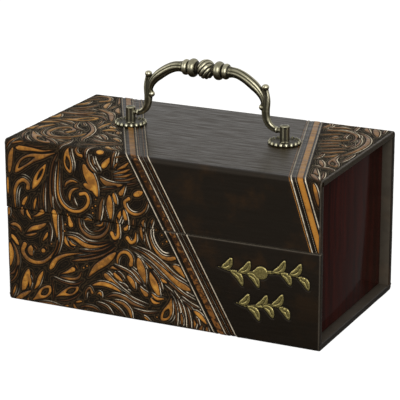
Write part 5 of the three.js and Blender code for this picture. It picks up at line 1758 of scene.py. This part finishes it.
def petalTree():
    # Petals set round a ring and joined to the turned disc
    tree = bpy.data.node_groups.new("rosettePetals", "GeometryNodeTree")
    sockets = {}
    for name, kind in (("Disc", "Geometry"), ("Petals", "Int"), ("Ring", "Float"), ("Size", "Vector"),
                       ("Centre", "Vector"), ("Finish", "Material")):
        made = tree.interface.new_socket(name, in_out="INPUT", socket_type=f"NodeSocket{kind}")
        sockets[name] = made.identifier
    tree.interface.new_socket("Rosette", in_out="OUTPUT", socket_type="NodeSocketGeometry")
    add = functools.partial(addNode, tree)
    given = tree.nodes.new("NodeGroupInput").outputs
    ring = add("GeometryNodeMeshCircle", {"Vertices": given["Petals"], "Radius": given["Ring"]})
    ball = add("GeometryNodeMeshUVSphere", {
        "Segments": rosette["segments"], "Rings": rosette["rings"], "Radius": 1.0,
    })
    spot = add("GeometryNodeInputPosition")
    x, y, z = add("ShaderNodeSeparateXYZ", {0: spot}).node.outputs
    cut = add("ShaderNodeCombineXYZ", {0: x, 1: y, 2: add("maximum", z, rosette["flat"])})
    dome = add("GeometryNodeSetPosition", {"Geometry": ball, "Position": cut})
    petal = add("GeometryNodeTransform", {"Geometry": dome, "Scale": given["Size"]})
    turn = add("FunctionNodeAlignRotationToVector", {"Vector": spot}, axis="X")
    petals = add("GeometryNodeInstanceOnPoints", {"Points": ring, "Instance": petal, "Rotation": turn})
    placed = add("GeometryNodeTransform", {"Geometry": petals, "Translation": given["Centre"]})
    both = add("GeometryNodeJoinGeometry", {0: given["Disc"]})
    tree.links.new(placed, both.node.inputs[0])
    real = add("GeometryNodeRealizeInstances", {0: both})
    smooth = add("GeometryNodeSetShadeSmooth", {"Geometry": real})
    plated = add("GeometryNodeSetMaterial", {"Geometry": smooth, "Material": given["Finish"]})
    add("NodeGroupOutput", {0: plated})
    return tree, sockets


def addRosette(side, tree, sockets):
    x, y = postPlace(side)
    low, high = limits(f"{side}_rosette")
    bottom, top = low[2] - rosette["under"], high[2]
    disc, radius = rosette["disc"], post["radius"]
    dish = bottom + rosette["dish"]
    profile = [
        (0, bottom), (disc, bottom), (disc + 0.2, bottom + 0.35), (disc, top - 1.05),
        (disc - rosette["rim"], top - 1.0), (disc - 1.5, dish + 0.1), (radius + 0.7, dish),
        (radius + 0.2, dish + 0.15),
        *[(radius, height) for height in np.linspace(dish + 0.4, top, 4)], (0, top),
    ]
    points, faces = turnedShape(profile, rosette["sides"], (x, y, 0))
    fluted(points, (x, y), dish + 0.4, top + 1)
    piece = newPiece(f"{side}_rosette_plate", points, faces, castingFinish)
    modifier = piece.modifiers.new("petals", "NODES")
    modifier.node_group = tree
    for name, value in {
        "Petals": rosette["petals"], "Ring": rosette["ring"] * mm,
        "Size": [rosette[key] * mm for key in ("long", "wide", "high")],
        "Centre": [x * mm, y * mm, (top - rosette["high"]) * mm], "Finish": castingFinish,
    }.items():
        modifier[sockets[name]] = value
    mesh = applied(piece)
    places = np.array([vertex.co for vertex in mesh.vertices]) / mm - np.array([x, y, 0])
    spread = np.hypot(places[:, 0], places[:, 1])
    around = np.arctan2(places[:, 1], places[:, 0])
    # beads bright outside and dark between; the disc inside them stays dark
    pitch = 2 * math.pi / rosette["petals"]
    off = np.abs((around + pitch / 2) % pitch - pitch / 2) * spread
    inside = rosette["ring"] - rosette["long"] + rosette["beadInset"]
    bead = (spread > inside) & (places[:, 2] > bottom + rosette["beadFoot"])
    beadHollow = rosette["beadHollow"] + rosette["betweenBeads"] * (off / rosette["wide"]) ** 2
    hollow = np.where(bead, beadHollow, rosette["plateHollow"])
    hollow += np.where(bead & (spread < rosette["ring"]), rosette["insideBeads"], 0)
    valley = 0.5 + 0.5 * np.cos(post["ribs"] * (around + math.pi / 2 + math.pi / 6))
    onPost = (spread < radius + 0.1) & (places[:, 2] > dish + 0.3)
    hollow = np.where(onPost, post["ribHollow"] + post["valleyHollow"] * valley, hollow)
    writeAttribute(mesh, "hollow", hollow)
    attach(piece, "lid", "antique_nickel", f"{side}_rosette")


def addPost(side):
    centre = postPlace(side)
    low, high = limits(f"{side}_post")
    bottom, top = low[2] - post["under"], high[2]
    radius = post["radius"]
    shaftTop = top - post["shoulder"]
    profile = [
        (0, bottom), *[(radius, height) for height in np.linspace(bottom, shaftTop - 0.5, post["rings"])],
        (radius, shaftTop), (radius * 0.95, top - 0.6), (radius * 0.8, top - 0.3),
        (radius * 0.45, top - 0.08), (0, top),
    ]
    points, faces = turnedShape(profile, rosette["sides"], (*centre, 0))
    valley, shaft = fluted(points, centre, bottom - 1, shaftTop)
    piece = newPiece(f"{side}_post_casting", points, faces, castingFinish, 50)
    cap = np.where(points[:, 2] > top - post["topDepth"], post["topHollow"], post["roundHollow"])
    writeAttribute(piece.data, "hollow",
                   np.where(shaft > 0, post["ribHollow"] + post["valleyHollow"] * valley, cap))
    attach(piece, "lid", "antique_nickel", f"{side}_post")


def blockShape(centre, half):
    corners = np.array([(sx, sy, sz) for sx in (-1, 1) for sy in (-1, 1) for sz in (-1, 1)], float)
    faces = [(0, 1, 3, 2), (4, 6, 7, 5), (0, 4, 5, 1), (2, 3, 7, 6), (0, 2, 6, 4), (1, 5, 7, 3)]
    return corners * np.array(half) + np.array(centre), faces


def ringShape(profile, sides, centre):
    # A closed profile carried round the vertical axis
    count = len(profile)
    points = [
        (radius * math.cos(2 * math.pi * side / sides), radius * math.sin(2 * math.pi * side / sides), place)
        for side in range(sides) for radius, place in profile
    ]
    faces = []
    for side in range(sides):
        near, far = side * count, ((side + 1) % sides) * count
        for step in range(count):
            following = (step + 1) % count
            faces.append((near + step, far + step, far + following, near + following))
    return np.array(points) + np.array(centre), faces


def addScrew(side):
    # A pan-head screw with a cross recess, head down inside the lid
    x, y = postPlace(side)
    low, high = limits(f"{side}_screw")
    headRadius, headZ, end = (high[0] - low[0]) / 2, low[2], high[2]
    shank, dome, headTop, chamfer = screw["shank"], screw["dome"], headZ + screw["head"], screw["chamfer"]
    angles = np.radians(screw["domeAngles"])
    profile = [
        (0, headZ),
        *[(headRadius * math.sin(angle), headZ + dome - dome * math.cos(angle)) for angle in angles],
        (headRadius, headTop), (shank, headTop), (shank, end - chamfer), (shank - chamfer, end), (0, end),
    ]
    piece = newPiece(f"{side}_pan_screw", *turnedShape(profile, screw["sides"], (x, y, 0)), steelFinish)
    long, narrow, deep = screw["cross"]
    bars = [blockShape((x, y, headZ), half) for half in ((long, narrow, deep), (narrow, long, deep))]
    cutter = newPiece(f"{side}_cutter", *joined(bars), steelFinish)
    cut = piece.modifiers.new("cross", "BOOLEAN")
    cut.object = cutter
    cut.solver = "EXACT"
    cut.use_self = True
    mesh = applied(piece)
    bpy.data.objects.remove(cutter)
    mesh.set_sharp_from_angle(angle=math.radians(40))
    attach(piece, "lid", "steel", f"{side}_screw")


def addWasher(side):
    low, high = limits(f"{side}_washer")
    outer, hole, edge = (high[0] - low[0]) / 2, screw["hole"], screw["washerEdge"]
    profile = [
        (hole, low[2]), (outer - edge, low[2]), (outer, low[2] + edge), (outer, high[2] - edge),
        (outer - edge, high[2]), (hole, high[2]),
    ]
    ring = ringShape(profile, screw["sides"], (*postPlace(side), 0))
    attach(newPiece(f"{side}_flat_washer", *ring, steelFinish), "lid", "steel", f"{side}_washer")


magnet = {"ease": 0.2, "sides": 48}


def addMagnets():
    ease = magnet["ease"]
    for body, place in (("case", "wall"), ("flap", "flap")):
        for side in ("left", "right"):
            node = f"{place}_magnet_{side}"
            low, high = limits(node)
            radius = (high[0] - low[0]) / 2
            half = (high[1] - low[1]) / 2
            profile = [
                (0, -half), (radius - ease, -half), (radius, ease - half), (radius, half - ease),
                (radius - ease, half), (0, half),
            ]
            points, faces = turnedShape(profile, magnet["sides"], (0, 0, 0))
            points = points[:, [1, 2, 0]] + (low + high) / 2
            attach(newPiece(f"{node}_disc", points, faces, steelFinish), body, "steel", node)


addBail()
petals, petalSockets = petalTree()
for side in ("left", "right"):
    addRosette(side, petals, petalSockets)
    addPost(side)
    addScrew(side)
    addWasher(side)
addMagnets()
print("handle and fasteners made")


# Floor, world and lamps

studio = {
    "floor": "#8b8985", "floorSize": 9.0, "floorDrop": 0.1, "floorGlow": 0.94, "glossGlow": 0.03,
    "world": 0.3, "aim": (0, 0, 0.05),
    "lamps": (
        {"name": "key", "place": (1.5, -2.5, 1.5), "size": 2.6, "power": 100},
        {"name": "fill", "place": (-2.2, -1.4, 1.0), "size": 1.6, "power": 16},
    ),
}


def addFloor():
    half = studio["floorSize"] / 2
    mesh = bpy.data.meshes.new("floor")
    corners = [(-half, -half, 0), (half, -half, 0), (half, half, 0), (-half, half, 0)]
    mesh.from_pydata(corners, [], [(0, 1, 2, 3)])
    floor = bpy.data.objects.new("floor", mesh)
    floor.location.z = -studio["floorDrop"] * mm
    scene.collection.objects.link(floor)
    # Matt paper sweep: reads white to the camera, grey in the metal and lacquer, and keeps the shadow
    material, add = newMaterial("paperSweep")
    paper = add("ShaderNodeBsdfPrincipled", {
        "Base Color": hexColour(studio["floor"]), "Roughness": 0.95, "Specular IOR Level": 0.0,
    })
    rays = add("ShaderNodeLightPath").node.outputs
    strength = add("multiply", rays["Is Camera Ray"], studio["floorGlow"])
    for ray in ("Is Glossy Ray", "Is Transmission Ray"):
        strength = add("add", strength, add("multiply", rays[ray], studio["glossGlow"]))
    glow = add("ShaderNodeEmission", {"Strength": strength})
    add("ShaderNodeOutputMaterial", {"Surface": add("ShaderNodeAddShader", {0: paper, 1: glow})})
    mesh.materials.append(material)


def addWorld():
    # White to the camera and in reflections, dimmer as a light
    world = bpy.data.worlds.new("studio")
    scene.world = world
    world.use_nodes = True
    world.node_tree.nodes.clear()
    add = functools.partial(addNode, world.node_tree)
    rays = add("ShaderNodeLightPath").node.outputs
    seen = add("maximum", rays["Is Camera Ray"], rays["Is Glossy Ray"])
    seen = add("maximum", seen, rays["Is Transmission Ray"])
    strength = add("ShaderNodeMapRange", {0: seen, 3: studio["world"], 4: 1.0})
    sky = add("ShaderNodeBackground", {"Color": (1, 1, 1, 1), "Strength": strength})
    add("ShaderNodeOutputWorld", {0: sky})


def addLamps():
    aim = Vector(studio["aim"])
    for lamp in studio["lamps"]:
        data = bpy.data.lights.new(lamp["name"], "AREA")
        data.shape = "DISK"
        data.size = lamp["size"]
        data.energy = lamp["power"]
        holder = bpy.data.objects.new(lamp["name"], data)
        holder.location = lamp["place"]
        holder.rotation_euler = (aim - Vector(lamp["place"])).to_track_quat("-Z", "Y").to_euler()
        scene.collection.objects.link(holder)


addFloor()
addWorld()
addLamps()
scene.view_settings.view_transform = "Standard"
